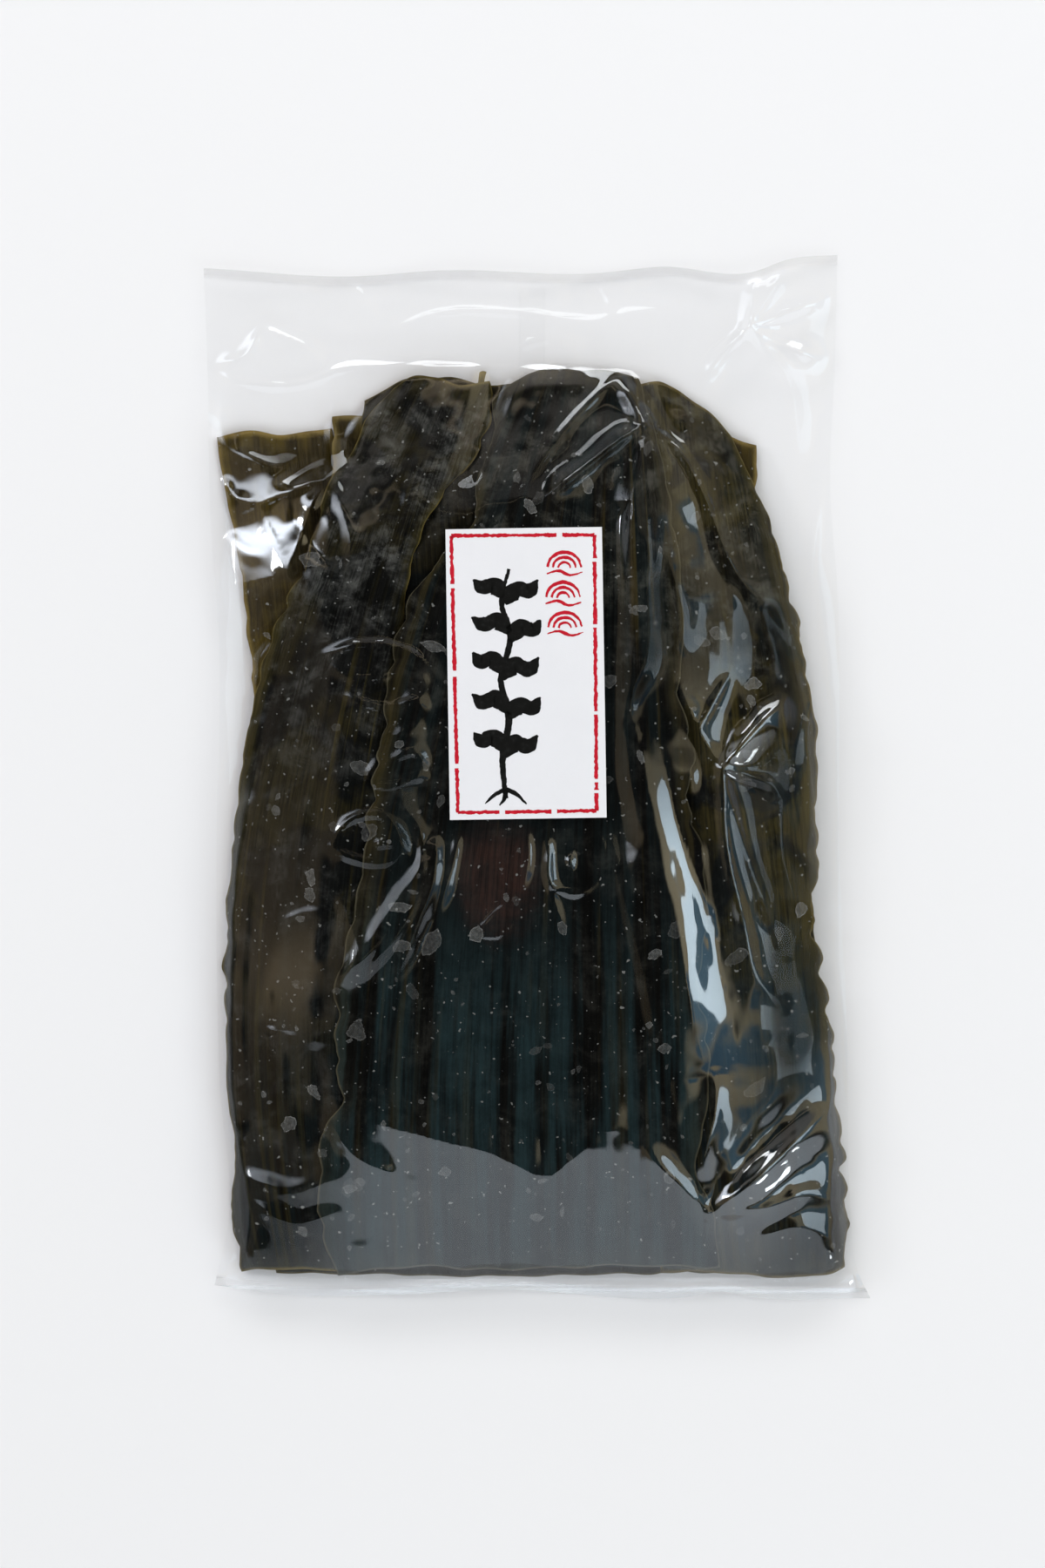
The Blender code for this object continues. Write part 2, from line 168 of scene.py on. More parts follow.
# Film folds in mm: points along the crest, half widths to the left and right of its direction, height, and
# sharpness from 0, round, to 1, creased; FLANKS stands for straight flanks. A negative height is a valley.
FLANKS = -1.0
FOLDS = [
    # The fan of folds that meets above the label, on the right.
    ([(34.5, 113), (27, 108), (12, 96), (-4, 84)], (3.0, 4.5), 2.4, 0.9),
    ([(34.5, 113), (33, 103), (31, 93), (28, 61)], (4.0, 3.0), 2.0, 0.8),
    ([(34.5, 113), (44, 106), (53, 91), (62.5, 67), (73.5, 53)], (4.0, 3.2), 2.4, 0.9),
    ([(34.5, 113), (30, 121), (26, 129)], (3.2, 3.2), 1.8, 0.7),
    ([(26, 129), (12, 115), (-4, 92), (-9, 79)], (2.4, 2.4), 1.2, 0.8),
    ([(34.5, 113), (39, 95), (43, 70), (44, 50)], (4.2, 4.2), 1.6, 0.3),
    ([(12, 104), (4, 98), (-2, 88)], (4.0, 4.0), -1.2, 0.1),
    ([(34.5, 113), (48, 96), (56, 76), (60, 60)], (5.0, 5.0), -1.4, 0.2),
    # The long soft ridge right of the label: its left flank is steep and dark, its right one long.
    ([(33, 104), (35, 84), (34, 60), (33, 37), (25, 20), (27, 2), (33, -18)], (4.5, 17.0), 3.0, 0.0),
    ([(21.6, 24), (25, 6), (26.4, -8)], (2.4, 2.4), 1.6, 0.9),
    ([(44, 66), (47, 52), (44, 38)], (4.0, 5.0), 1.1, 0.0),
    ([(31, 20), (38, 8), (46, -4)], (5.0, 6.0), 0.6, 0.0),
    # The flank of the long highlight, and the lines inside it.
    ([(33, 8), (36, -14), (42, -42), (48, -68), (53, -96)], (9.0, 13.0), 3.5, FLANKS),
    ([(43, -16), (49, -40), (57, -62)], (2.2, 2.2), 0.30, 0.5),
    ([(47, -14), (54, -44), (60, -66)], (1.6, 1.6), -0.25, 0.4),
    ([(22, -8), (28, -40), (38, -80), (45, -118)], (2.6, 3.6), 0.7, 0.5),
    # The star on the right blade.
    ([(58.6, 2.7), (66, 11), (74, 20), (80.7, 25.7)], (2.4, 5.0), 2.6, 0.8),
    ([(58.6, 2.7), (68, 0), (75, -3), (77.6, -8)], (1.6, 2.4), 1.5, 0.95),
    ([(58.6, 2.7), (60, -22), (66, -48), (70, -64), (80, -76)], (2.6, 4.4), 2.0, 0.8),
    ([(58.6, 2.7), (64, -16), (72, -40), (80, -60)], (2.4, 3.0), 1.3, 0.7),
    ([(58.6, 2.7), (61, 20), (68, 38), (72, 46)], (4.4, 3.4), -2.0, 0.3),
    ([(58.6, 2.7), (53, 12), (45, 30)], (3.0, 3.0), 1.0, 0.6),
    ([(51.6, 15.3), (58, 27), (65.3, 37.5)], (1.2, 2.4), 1.0, 0.7),
    ([(74, 53), (80, 40), (84, 22), (82, 6)], (3.4, 3.0), -1.6, 0.2),
    ([(77.6, -8), (78, -24), (84, -44), (86, -70)], (3.0, 4.0), 1.4, 0.4),
    ([(88, 30), (86, 12), (90, -6)], (3.0, 2.4), 1.2, 0.5),
    # The star at the lower right.
    ([(53.8, -139.8), (66, -131), (82, -117), (96.7, -104)], (3.0, 6.5), 2.5, 0.4),
    ([(53.8, -139.8), (46, -131), (37, -122), (32, -112)], (3.4, 3.4), 1.8, 0.6),
    ([(53.8, -139.8), (72, -138), (88, -133), (96, -136)], (3.0, 4.0), 1.8, 0.6),
    ([(53.8, -139.8), (60, -150), (62, -158)], (2.6, 2.6), 1.2, 0.6),
    ([(53.8, -139.8), (53, -124), (57, -104), (56, -92)], (3.2, 3.2), 1.6, 0.5),
    ([(62, -128), (76, -112), (90, -98)], (4.0, 4.0), -1.6, 0.2),
    ([(70, -148), (84, -144), (96, -148)], (3.0, 3.0), 1.2, 0.5),
    # Upper left: the star by the bag's side and its loop.
    ([(-104, 60), (-90, 62), (-78, 66), (-70, 72)], (22.0, 20.0), 4.0, FLANKS),
    ([(-67, 96.5), (-80, 91), (-94, 86), (-105, 83)], (2.4, 5.0), 1.5, 0.4),
    ([(-67, 96.5), (-73, 84), (-77, 73), (-82, 64)], (2.6, 3.4), 1.3, 0.5),
    ([(-100, 78), (-93, 72), (-85, 70)], (3.0, 3.4), 0.5, 0.2),
    ([(-65.4, 96.3), (-66, 108), (-64, 128)], (2.4, 2.4), 1.0, 0.6),
    ([(-65.4, 96.3), (-60, 80), (-58, 62)], (3.0, 3.0), 1.0, 0.5),
    ([(-101.8, 96.3), (-97, 90), (-90, 88)], (2.6, 2.6), 1.2, 0.6),
    ([(-96, 104), (-84, 100), (-72, 104)], (3.0, 3.0), 1.0, 0.5),
    # Ridges over the left edge of the front blade.
    ([(-62, -64), (-53, -54), (-44, -40), (-34, -25)], (2.6, 3.6), 2.2, 0.7),
    ([(-54, -62), (-46, -52), (-38, -34), (-38, -16), (-46, -6)], (1.6, 2.6), 1.5, 0.8),
    ([(-66, -22.5), (-60, -14), (-50, -12), (-42, -22), (-40, -32)], (1.6, 2.2), 1.1, 0.8),
    ([(-66, -22.5), (-58, -26), (-48, -27), (-40, -22)], (1.6, 2.0), 1.1, 0.8),
    ([(-52, -22), (-46, -21), (-42, -24)], (2.4, 2.4), 1.2, 0.1),
    ([(-34, -10), (-32, -28), (-40, -52), (-52, -74)], (2.4, 4.0), 1.4, 0.5),
    ([(-62, -40), (-58, -52), (-60, -70)], (3.0, 3.0), 0.9, 0.4),
    ([(-68, 39), (-57, 42.2), (-46, 41.7), (-29, 31.6)], (1.4, 3.4), 1.2, 0.8),
    ([(-68, 36), (-56, 31), (-44, 34), (-32, 29)], (1.6, 1.8), 0.7, 0.7),
    ([(-61, 25.7), (-48, 22), (-38, 24), (-30, 19)], (1.4, 2.4), 0.9, 0.7),
    ([(-56, 18), (-46, 13), (-36, 17)], (1.6, 1.8), 0.7, 0.7),
    ([(-46.4, 5), (-40, 8), (-31.8, 2.2)], (1.6, 2.0), 0.9, 0.7),
    ([(-56, -2), (-47, -3), (-36, 0), (-30, -4)], (1.6, 2.2), 1.0, 0.8),
    ([(-86, -60), (-74, -62.5), (-60, -58)], (4.4, 4.6), 0.45, 0.3),
    ([(-88, -68), (-73, -71), (-62, -67)], (4.4, 5.0), 0.5, 0.3),
    ([(-90, -80), (-76, -84), (-62, -80)], (3.0, 4.0), 1.0, 0.2),
    ([(-84, -48), (-72, -44), (-60, -48)], (3.0, 4.0), 0.8, 0.2),
    # Waves across the lower left.
    ([(-96, -116), (-84, -110), (-66, -118)], (4.4, 5.0), 1.0, 0.2),
    ([(-94, -128), (-80, -132), (-58, -124)], (3.6, 4.4), 1.1, 0.3),
    ([(-92, -136), (-76, -143), (-62, -138)], (3.0, 3.6), 1.2, 0.3),
    ([(-66, -112), (-56, -122), (-44, -128)], (3.4, 3.4), 1.2, 0.4),
    # The crest above the grey reflection at the foot of the bag.
    ([(-66, -103), (-56, -108), (-35, -114), (-14, -120), (4, -128), (13, -120), (22, -111), (30, -114),
      (40, -123), (52, -138), (66, -149)], (22.0, 15.0), 1.9, FLANKS),
    # Below the label.
    ([(-24, -13), (-27, -28), (-32, -46)], (1.8, 2.4), 1.0, 0.6),
    ([(-4, -13), (-3, -26), (-6, -38)], (1.8, 2.0), 0.9, 0.6),
    ([(-19, -30), (-12, -34), (-6, -37)], (1.4, 1.8), 0.6, 0.8),
    ([(-20, -48), (-12, -40), (-6, -38)], (1.8, 1.8), 0.8, 0.7),
    ([(-20, -50), (-12, -50), (-6, -42)], (1.6, 1.6), 0.6, 0.7),
    ([(3.7, -20), (10, -17), (20, -20), (20, -32)], (1.4, 1.8), 0.9, 0.8),
    ([(4, -22), (4.5, -34), (12, -37), (20, -33)], (1.6, 1.6), 1.0, 0.8),
    ([(9, -27), (12, -27)], (2.2, 2.2), 1.0, 0.1),
    ([(3, -14), (4, -34), (9, -52)], (1.6, 2.0), 0.9, 0.7),
    ([(22, -14), (27, -34), (34, -62)], (1.6, 2.4), 0.45, 0.6),
    # The top flap.
    ([(-106.3, 132.7), (-102, 129.3), (-90, 126.2), (-71, 127.6), (-64.6, 130.7), (-46.7, 131.8),
      (-25, 131.3), (17.7, 130.6)], (2.0, 2.4), 1.3, 0.8),
    ([(-51, 142), (-32.7, 149), (-5, 149.2), (20, 146.7), (29, 149), (40, 150), (58, 146.7), (68, 144.4)],
     (2.2, 2.6), 1.5, 0.8),
    ([(-89, 144.4), (-94, 135.5), (-106, 132.7)], (2.4, 2.4), 1.4, 0.8),
    ([(-89, 144.4), (-82.5, 141.6), (-69, 135.5)], (2.4, 2.4), 1.4, 0.8),
    ([(-64, 144.4), (-58, 142), (-51.7, 142)], (2.0, 2.0), 1.1, 0.7),
    ([(68, 144.4), (69.5, 155), (70.4, 165.7)], (2.6, 2.6), 1.8, 0.8),
    ([(68, 144.4), (75, 156), (80.7, 166)], (2.4, 2.4), 1.6, 0.8),
    ([(68, 144.4), (82, 150), (96, 155)], (2.6, 2.6), 1.8, 0.8),
    ([(68, 144.4), (84, 137), (95, 134.6)], (3.0, 3.0), 2.2, 0.8),
    ([(68, 144.4), (58, 134), (52, 124)], (2.8, 2.8), 1.8, 0.7),
    ([(68, 144.4), (80, 128), (84, 100)], (3.0, 3.0), 1.8, 0.6),
    ([(-6.9, 138), (4, 141), (14, 136)], (3.0, 3.0), 1.7, 0.6),
    ([(20, 160), (24, 152), (22, 147)], (2.0, 2.0), 1.0, 0.7),
    ([(-60, 160), (-54, 150), (-51, 142)], (2.0, 2.0), 0.9, 0.7),
    # Lengthwise folds in the bare margins.
    ([(92, 96), (88, 60), (90, 20), (94, 4)], (1.6, 2.0), 1.0, 0.7),
    ([(93, -6), (97, -20), (95, -40), (98, -60)], (1.6, 2.0), 1.0, 0.7),
    ([(-99, 60), (-97, 20), (-100, -10), (-101, -50)], (1.2, 1.6), 0.9, 0.7),
]

# Where the stack itself is fuller than the plain solid, given as folds are.
FULLER = [
    ([(70, 92), (78, 50), (81, 10), (82, -30), (83, -80), (82, -120)], (13.0, 10.0), 3.6, 0.0),
]

# Where the film mirrors more or less than elsewhere, given as folds are.
GLEAMS = [
    ([(-70, 112), (-77, 40), (-80, -50)], (20.0, 22.0), -0.75, 0.0),
    ([(-44, 128), (-36, 90), (-30, 40)], (17.0, 17.0), -0.75, 0.0),
    ([(-78, -50), (-82, -100), (-84, -200)], (18.0, 18.0), -0.76, 0.0),
    ([(-44, 30), (-45, -30), (-50, -100)], (14.0, 14.0), -0.72, 0.0),
    ([(46, 10), (45, 2)], (6.0, 6.0), -0.70, 0.0),
    ([(-88, -62), (-68, -68)], (14.0, 16.0), 1.7, 0.0),
    ([(42, 124), (62, 104), (76, 72)], (13.0, 13.0), -0.60, 0.0),
    ([(-96, 112), (-78, 104), (-60, 104)], (9.0, 9.0), -0.8, 0.0),
    ([(-26, 86), (4, 100), (46, 114)], (16.0, 18.0), -0.70, 0.0),
    ([(28, 116), (30, 60), (27, -8)], (6.0, 6.0), -0.50, 0.0),
    ([(14, 2), (23, -16), (30, -46), (40, -84), (47, -112)], (6.0, 5.5), -0.72, 0.0),
    ([(36, 112), (38, 60), (35, 4)], (5.5, 5.5), -0.70, 0.0),
    ([(46, 68), (50, 47), (63, 34)], (10.0, 10.0), -0.62, 0.0),
    ([(40, -10), (48, -44), (60, -110)], (9.0, 9.0), 1.30, 0.0),
    ([(76, 150), (80, 10), (88, -190)], (10.0, 12.0), -0.80, 0.0),
    ([(64, 128), (64, 84), (68, 30), (72, -20)], (9.0, 9.0), -0.40, 0.0),
    ([(84, -30), (83, -70), (84, -112)], (8.0, 9.0), -0.5, 0.0),
    ([(64, 6), (67, -20), (74, -48)], (7.0, 7.0), -0.45, 0.0),
    ([(100, -80), (84, -122), (50, -144)], (14.0, 14.0), 0.85, 0.0),
    ([(-100, 66), (-90, 74), (-80, 80), (-70, 93)], (12.0, 12.0), 2.0, 0.0),
    ([(59, 3), (67, 12), (75, 21), (81, 26)], (3.0, 4.0), 1.3, 0.0),
    ([(-106, 132), (-90, 126), (-65, 131), (-25, 131), (18, 130)], (3.2, 3.2), 2.0, 0.0),
    ([(96, 155), (82, 150), (68, 144), (58, 134), (52, 124)], (3.6, 3.6), 2.0, 0.0),
    ([(68, 144), (84, 137), (95, 135)], (4.0, 4.0), 2.0, 0.0),
    ([(-106, 133), (-94, 136), (-89, 144), (-69, 136)], (3.0, 3.0), 1.6, 0.0),
]
GLEAM_LIMITS = (0.10, 3.0)

CEILING = 26.4
FILM_CELLS = (236, 372)
BACK_CELLS = (110, 172)
SEAM_HALF_WIDTH = 4.2
SEAM_X = -1.6
SEAL_BAND = 3.4

# The studio round the bag. A place in it is given by the slope of a mirror that shows it from straight above:
# (0, 0) is overhead, and 1 is the horizon. So a fold's own slope says what it mirrors.
LIGHT_DISTANCE = 3.0
DARK_CEILING = (0.006, 0.006, 0.007)
PALE_WALL = (0.95, 0.97, 1.0)
# name, centre, half sizes, softness of the edges, colour
CARDS = [
    ("olive_card", (0.46, 0.24), (0.34, 0.40), 0.03, (0.78, 0.66, 0.43)),
    ("blue_card", (0.42, 0.02), (0.16, 0.16), 0.03, (0.24, 0.42, 0.55)),
    ("low_blue_card", (0.20, -0.10), (0.05, 0.05), 0.02, (0.14, 0.27, 0.38)),
    ("bottom_card", (0.0, -0.56), (0.75, 0.35), 0.014, (1.13, 1.20, 1.27)),
    ("left_card", (-0.45, -0.05), (0.17, 0.25), 0.05, (0.32, 0.245, 0.155)),
    ("left_glow", (-0.47, 0.23), (0.21, 0.08), 0.05, (5.0, 5.2, 5.6)),
    ("top_card", (0.05, 0.43), (0.40, 0.09), 0.03, (0.46, 0.42, 0.38)),
    ("top_strip", (0.0, 0.27), (0.20, 0.012), 0.012, (0.9, 0.72, 0.5)),
]
# name, centre, half sizes across and outwards, colour, brightness
SOFTBOXES = [
    ("right_softbox", (0.36, 0.03), (0.12, 0.10), (0.84, 0.95, 1.0), 2.8),
    ("left_softbox", (-0.57, 0.17), (0.035, 0.035), (1.0, 1.0, 1.0), 26.0),
    ("corner_softbox", (0.50, -0.38), (0.07, 0.05), (0.95, 1.0, 1.0), 14.0),
    ("top_softbox", (0.0, 0.62), (0.30, 0.07), (1.0, 1.0, 1.0), 8.0),
]

STAGE_CENTRE = (-4.7, -2.4)
CAMERA_HEIGHT = 1.408
CAMERA_LENS = 100.0
SENSOR = 36.0


# ---------------------------------------------------------------------------------------------------------
# Maths on arrays of places.


def smoothstep(low, high, value):
    """0 below low, 1 above high and a smooth rise between."""
    t = np.clip((value - low) / (high - low), 0.0, 1.0)
    return t * t * (3.0 - 2.0 * t)


def curve_through(points, at):
    """A smooth curve through (place, value) points, read at the places in at."""
    places, values = (np.array(column, float) for column in zip(*points))
    slopes = np.gradient(values, places)
    at = np.clip(at, places[0], places[-1])
    k = np.clip(np.searchsorted(places, at) - 1, 0, len(places) - 2)
    width = places[k + 1] - places[k]
    t = (at - places[k]) / width
    return (
        values[k] * (1 + 2 * t) * (1 - t) ** 2
        + slopes[k] * width * t * (1 - t) ** 2
        + values[k + 1] * t * t * (3 - 2 * t)
        + slopes[k + 1] * width * t * t * (t - 1)
    )


def patch_places(edges, u, v):
    """Places inside four edge curves, for u from left to right and v from bottom to top."""
    left, right, bottom, top = (edges[side] for side in ("left", "right", "bottom", "top"))
    left_y = left[0][0] + v * (left[-1][0] - left[0][0])
    right_y = right[0][0] + v * (right[-1][0] - right[0][0])
    bottom_x = bottom[0][0] + u * (bottom[-1][0] - bottom[0][0])
    top_x = top[0][0] + u * (top[-1][0] - top[0][0])
    left_points = np.stack([curve_through(left, left_y), left_y])
    right_points = np.stack([curve_through(right, right_y), right_y])
    bottom_points = np.stack([bottom_x, curve_through(bottom, bottom_x)])
    top_points = np.stack([top_x, curve_through(top, top_x)])
    corners = (
        np.outer(bottom[0], (1 - u) * (1 - v))
        + np.outer(bottom[-1], u * (1 - v))
        + np.outer(top[0], (1 - u) * v)
        + np.outer(top[-1], u * v)
    )
    return (1 - u) * left_points + u * right_points + (1 - v) * bottom_points + v * top_points - corners


def outline_of(edges, samples=34):
    """The closed outline of four edge curves, as places."""
    t = np.linspace(0.0, 1.0, samples, endpoint=False)
    zero, one = np.zeros_like(t), np.ones_like(t)
    sides = [(zero, t), (t, one), (one, 1 - t), (1 - t, zero)]
    return np.concatenate([patch_places(edges, u, v) for u, v in sides], axis=1).T


def distance_inside(outline, x, y):
    """Distance from each place to a closed outline, positive inside and negative outside."""
    nearest = np.full(x.shape, np.inf)
    crossings = np.zeros(x.shape, int)
    for (ax, ay), (bx, by) in zip(outline, np.roll(outline, -1, axis=0)):
        dx, dy = bx - ax, by - ay
        t = np.clip(((x - ax) * dx + (y - ay) * dy) / max(dx * dx + dy * dy, 1e-12), 0.0, 1.0)
        nearest = np.minimum(nearest, np.hypot(x - ax - t * dx, y - ay - t * dy))
        if ay != by:
            reaches = (y < ay) != (y < by)
            crossings += reaches & (x < ax + (y - ay) * dx / (by - ay))
    return np.where(crossings % 2 == 1, nearest, -nearest)


def wave_noise(x, y, size, seed):
    """Smooth noise from -1 to 1 whose bumps are about size apart."""
    lattice = np.random.default_rng(seed).uniform(-1.0, 1.0, (64, 64))
    fx, fy = x / size + 0.37 * seed, y / size + 0.71 * seed
    i, j = np.floor(fx).astype(int), np.floor(fy).astype(int)
    s, t = fx - i, fy - j
    s, t = s * s * (3 - 2 * s), t * t * (3 - 2 * t)
    low = lattice[i % 64, j % 64] * (1 - s) + lattice[(i + 1) % 64, j % 64] * s
    high = lattice[i % 64, (j + 1) % 64] * (1 - s) + lattice[(i + 1) % 64, (j + 1) % 64] * s
    return low * (1 - t) + high * t


def blurred(field, sigma):
    """The field smoothed over sigma of its own cells, with its rim values carried outwards."""
    reach = int(np.ceil(3 * sigma))
    weights = np.exp(-0.5 * (np.arange(-reach, reach + 1) / sigma) ** 2)
    weights /= weights.sum()
    for axis in (0, 1):
        padding = [(0, 0), (0, 0)]
        padding[axis] = (reach, reach)
        padded = np.pad(field, padding, mode="edge")
        size = field.shape[axis]
        field = sum(
            weight * np.take(padded, range(k, k + size), axis=axis) for k, weight in enumerate(weights)
        )
    return field


def spread(field, reach):
    """The highest value within reach cells of each cell."""
    for axis in (0, 1):
        padding = [(0, 0), (0, 0)]
        padding[axis] = (reach, reach)
        padded = np.pad(field, padding, mode="edge")
        size = field.shape[axis]
        field = np.max([np.take(padded, range(k, k + size), axis=axis) for k in range(2 * reach + 1)], axis=0)
    return field


class Field:
    """Heights on a square raster of places, 1 mm apart."""

    def __init__(self, heights=None):
        self.x = np.arange(-114.0, 115.0)
        self.y = np.arange(-176.0, 177.0)
        self.grid_x, self.grid_y = np.meshgrid(self.x, self.y)
        self.heights = np.zeros(self.grid_x.shape) if heights is None else heights

    def read(self, x, y):
        """Heights at any places, between the raster's own."""
        fx = np.clip(x - self.x[0], 0, len(self.x) - 1.001)
        fy = np.clip(y - self.y[0], 0, len(self.y) - 1.001)
        i, j = fx.astype(int), fy.astype(int)
        s, t = fx - i, fy - j
        h = self.heights
        return (h[j, i] * (1 - s) + h[j, i + 1] * s) * (1 - t) + (h[j + 1, i] * (1 - s) + h[j + 1, i + 1] * s) * t

    def drop(self, x, y, z):
        """Raises the raster to the points that lie over it."""
        i = np.clip(np.rint(x - self.x[0]), 0, len(self.x) - 1).astype(int)
        j = np.clip(np.rint(y - self.y[0]), 0, len(self.y) - 1).astype(int)
        np.maximum.at(self.heights, (j, i), z)


def node_heights(node, x, y, from_above):
    """Heights in mm of a node's top or underside over each place, and NaN where the node isn't."""
    bm = bmesh.new()
    bm.from_mesh(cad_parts[node].data)
    tree = BVHTree.FromBMesh(bm)
    bm.free()
    start, direction = (0.1, (0, 0, -1)) if from_above else (-0.1, (0, 0, 1))
    heights = np.full(x.shape, np.nan)
    for index in np.ndindex(x.shape):
        place = tree.ray_cast((x[index] * MM, y[index] * MM, start), direction)[0]
        if place is not None:
            heights[index] = place.z / MM
    return heights


def filled(heights):
    """Heights with each gap taking the value of its nearest neighbours in the row."""
    result = heights.copy()
    for row in result:
        known = np.flatnonzero(~np.isnan(row))
        if known.size:
            row[:] = np.interp(np.arange(row.size), known, row[known])
    rows = np.flatnonzero(~np.isnan(result[:, 0]))
    for j in range(len(result)):
        if np.isnan(result[j, 0]):
            result[j] = result[rows[np.argmin(np.abs(rows - j))]]
    return result


# ---------------------------------------------------------------------------------------------------------
# Meshes.


def link(name, mesh, slot, *replaced):
    """An object at the origin that rides on the bag's body. The slot is not used."""
    item = bpy.data.objects.new(name, mesh)
    bpy.context.scene.collection.objects.link(item)
    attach(item, BODY)
    if replaced:
        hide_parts(*replaced)
    return item


def grid_mesh(name, cells, surface, closed=False):
    """A mesh of a grid of cells whose points come from surface(u, v, layer), in mm.

    An open grid has one layer, 0. A closed one is a sheet with its underside as layer 0 and its top as 1.
    """
    bm = bmesh.new()
    bmesh.ops.create_grid(bm, x_segments=cells[0], y_segments=cells[1], size=0.5)
    if closed:
        raised = bmesh.ops.extrude_face_region(bm, geom=list(bm.faces))["geom"]
        bmesh.ops.translate(bm, vec=(0, 0, 1), verts=[v for v in raised if isinstance(v, bmesh.types.BMVert)])
        bmesh.ops.recalc_face_normals(bm, faces=bm.faces)
    mesh = bpy.data.meshes.new(name)
    bm.to_mesh(mesh)
    bm.free()
    places = np.empty(len(mesh.vertices) * 3)
    mesh.vertices.foreach_get("co", places)
    u, v, layer = places.reshape(-1, 3).T
    u, v = u + 0.5, v + 0.5
    points = surface(u, v, layer)
    mesh.vertices.foreach_set("co", (np.stack(points, axis=1) * MM).ravel())
    mesh.update()
    mesh.shade_smooth()
    return mesh, u, v


def add_values(mesh, name, values):
    """A named value at each point, which materials read as an attribute."""
    mesh.attributes.new(name, "FLOAT", "POINT").data.foreach_set("value", np.asarray(values, "f"))


def add_uv(mesh, u, v):
    """A UV map in metres from values at the points."""
    corner_points = np.empty(len(mesh.loops), int)
    mesh.loops.foreach_get("vertex_index", corner_points)
    layer = mesh.uv_layers.new(name="blade")
    layer.uv.foreach_set("vector", (np.stack([u, v], axis=1)[corner_points] * MM).ravel())


# ---------------------------------------------------------------------------------------------------------
# Shader maths.


class Socket:
    """Wraps a shader output, so that sums on it add Math nodes."""

    def __init__(self, tree, output):
        self.tree = tree
        self.output = output

    def _maths(self, operation, *values):
        return self.tree.node("ShaderNodeMath", {"operation": operation}, dict(enumerate(values)))[0]

    def __add__(self, other):
        return self._maths("ADD", self, other)

    def __sub__(self, other):
        return self._maths("SUBTRACT", self, other)

    def __rsub__(self, other):
        return self._maths("SUBTRACT", other, self)

    def __mul__(self, other):
        return self._maths("MULTIPLY", self, other)

    def __truediv__(self, other):
        return self._maths("DIVIDE", self, other)

    def __pow__(self, other):
        return self._maths("POWER", self, other)

    def __abs__(self):
        return self._maths("ABSOLUTE", self)

    __radd__ = __add__
    __rmul__ = __mul__

    def least(self, other):
        return self._maths("MINIMUM", self, other)

    def most(self, other):
        return self._maths("MAXIMUM", self, other)

    def rise(self, low, high, start=0.0, end=1.0):
        """A smooth rise from start to end as the value goes from low to high."""
        settings = {"interpolation_type": "SMOOTHSTEP"}
        values = {"Value": self, "From Min": low, "From Max": high, "To Min": start, "To Max": end}
        return self.tree.node("ShaderNodeMapRange", settings, values)[0]


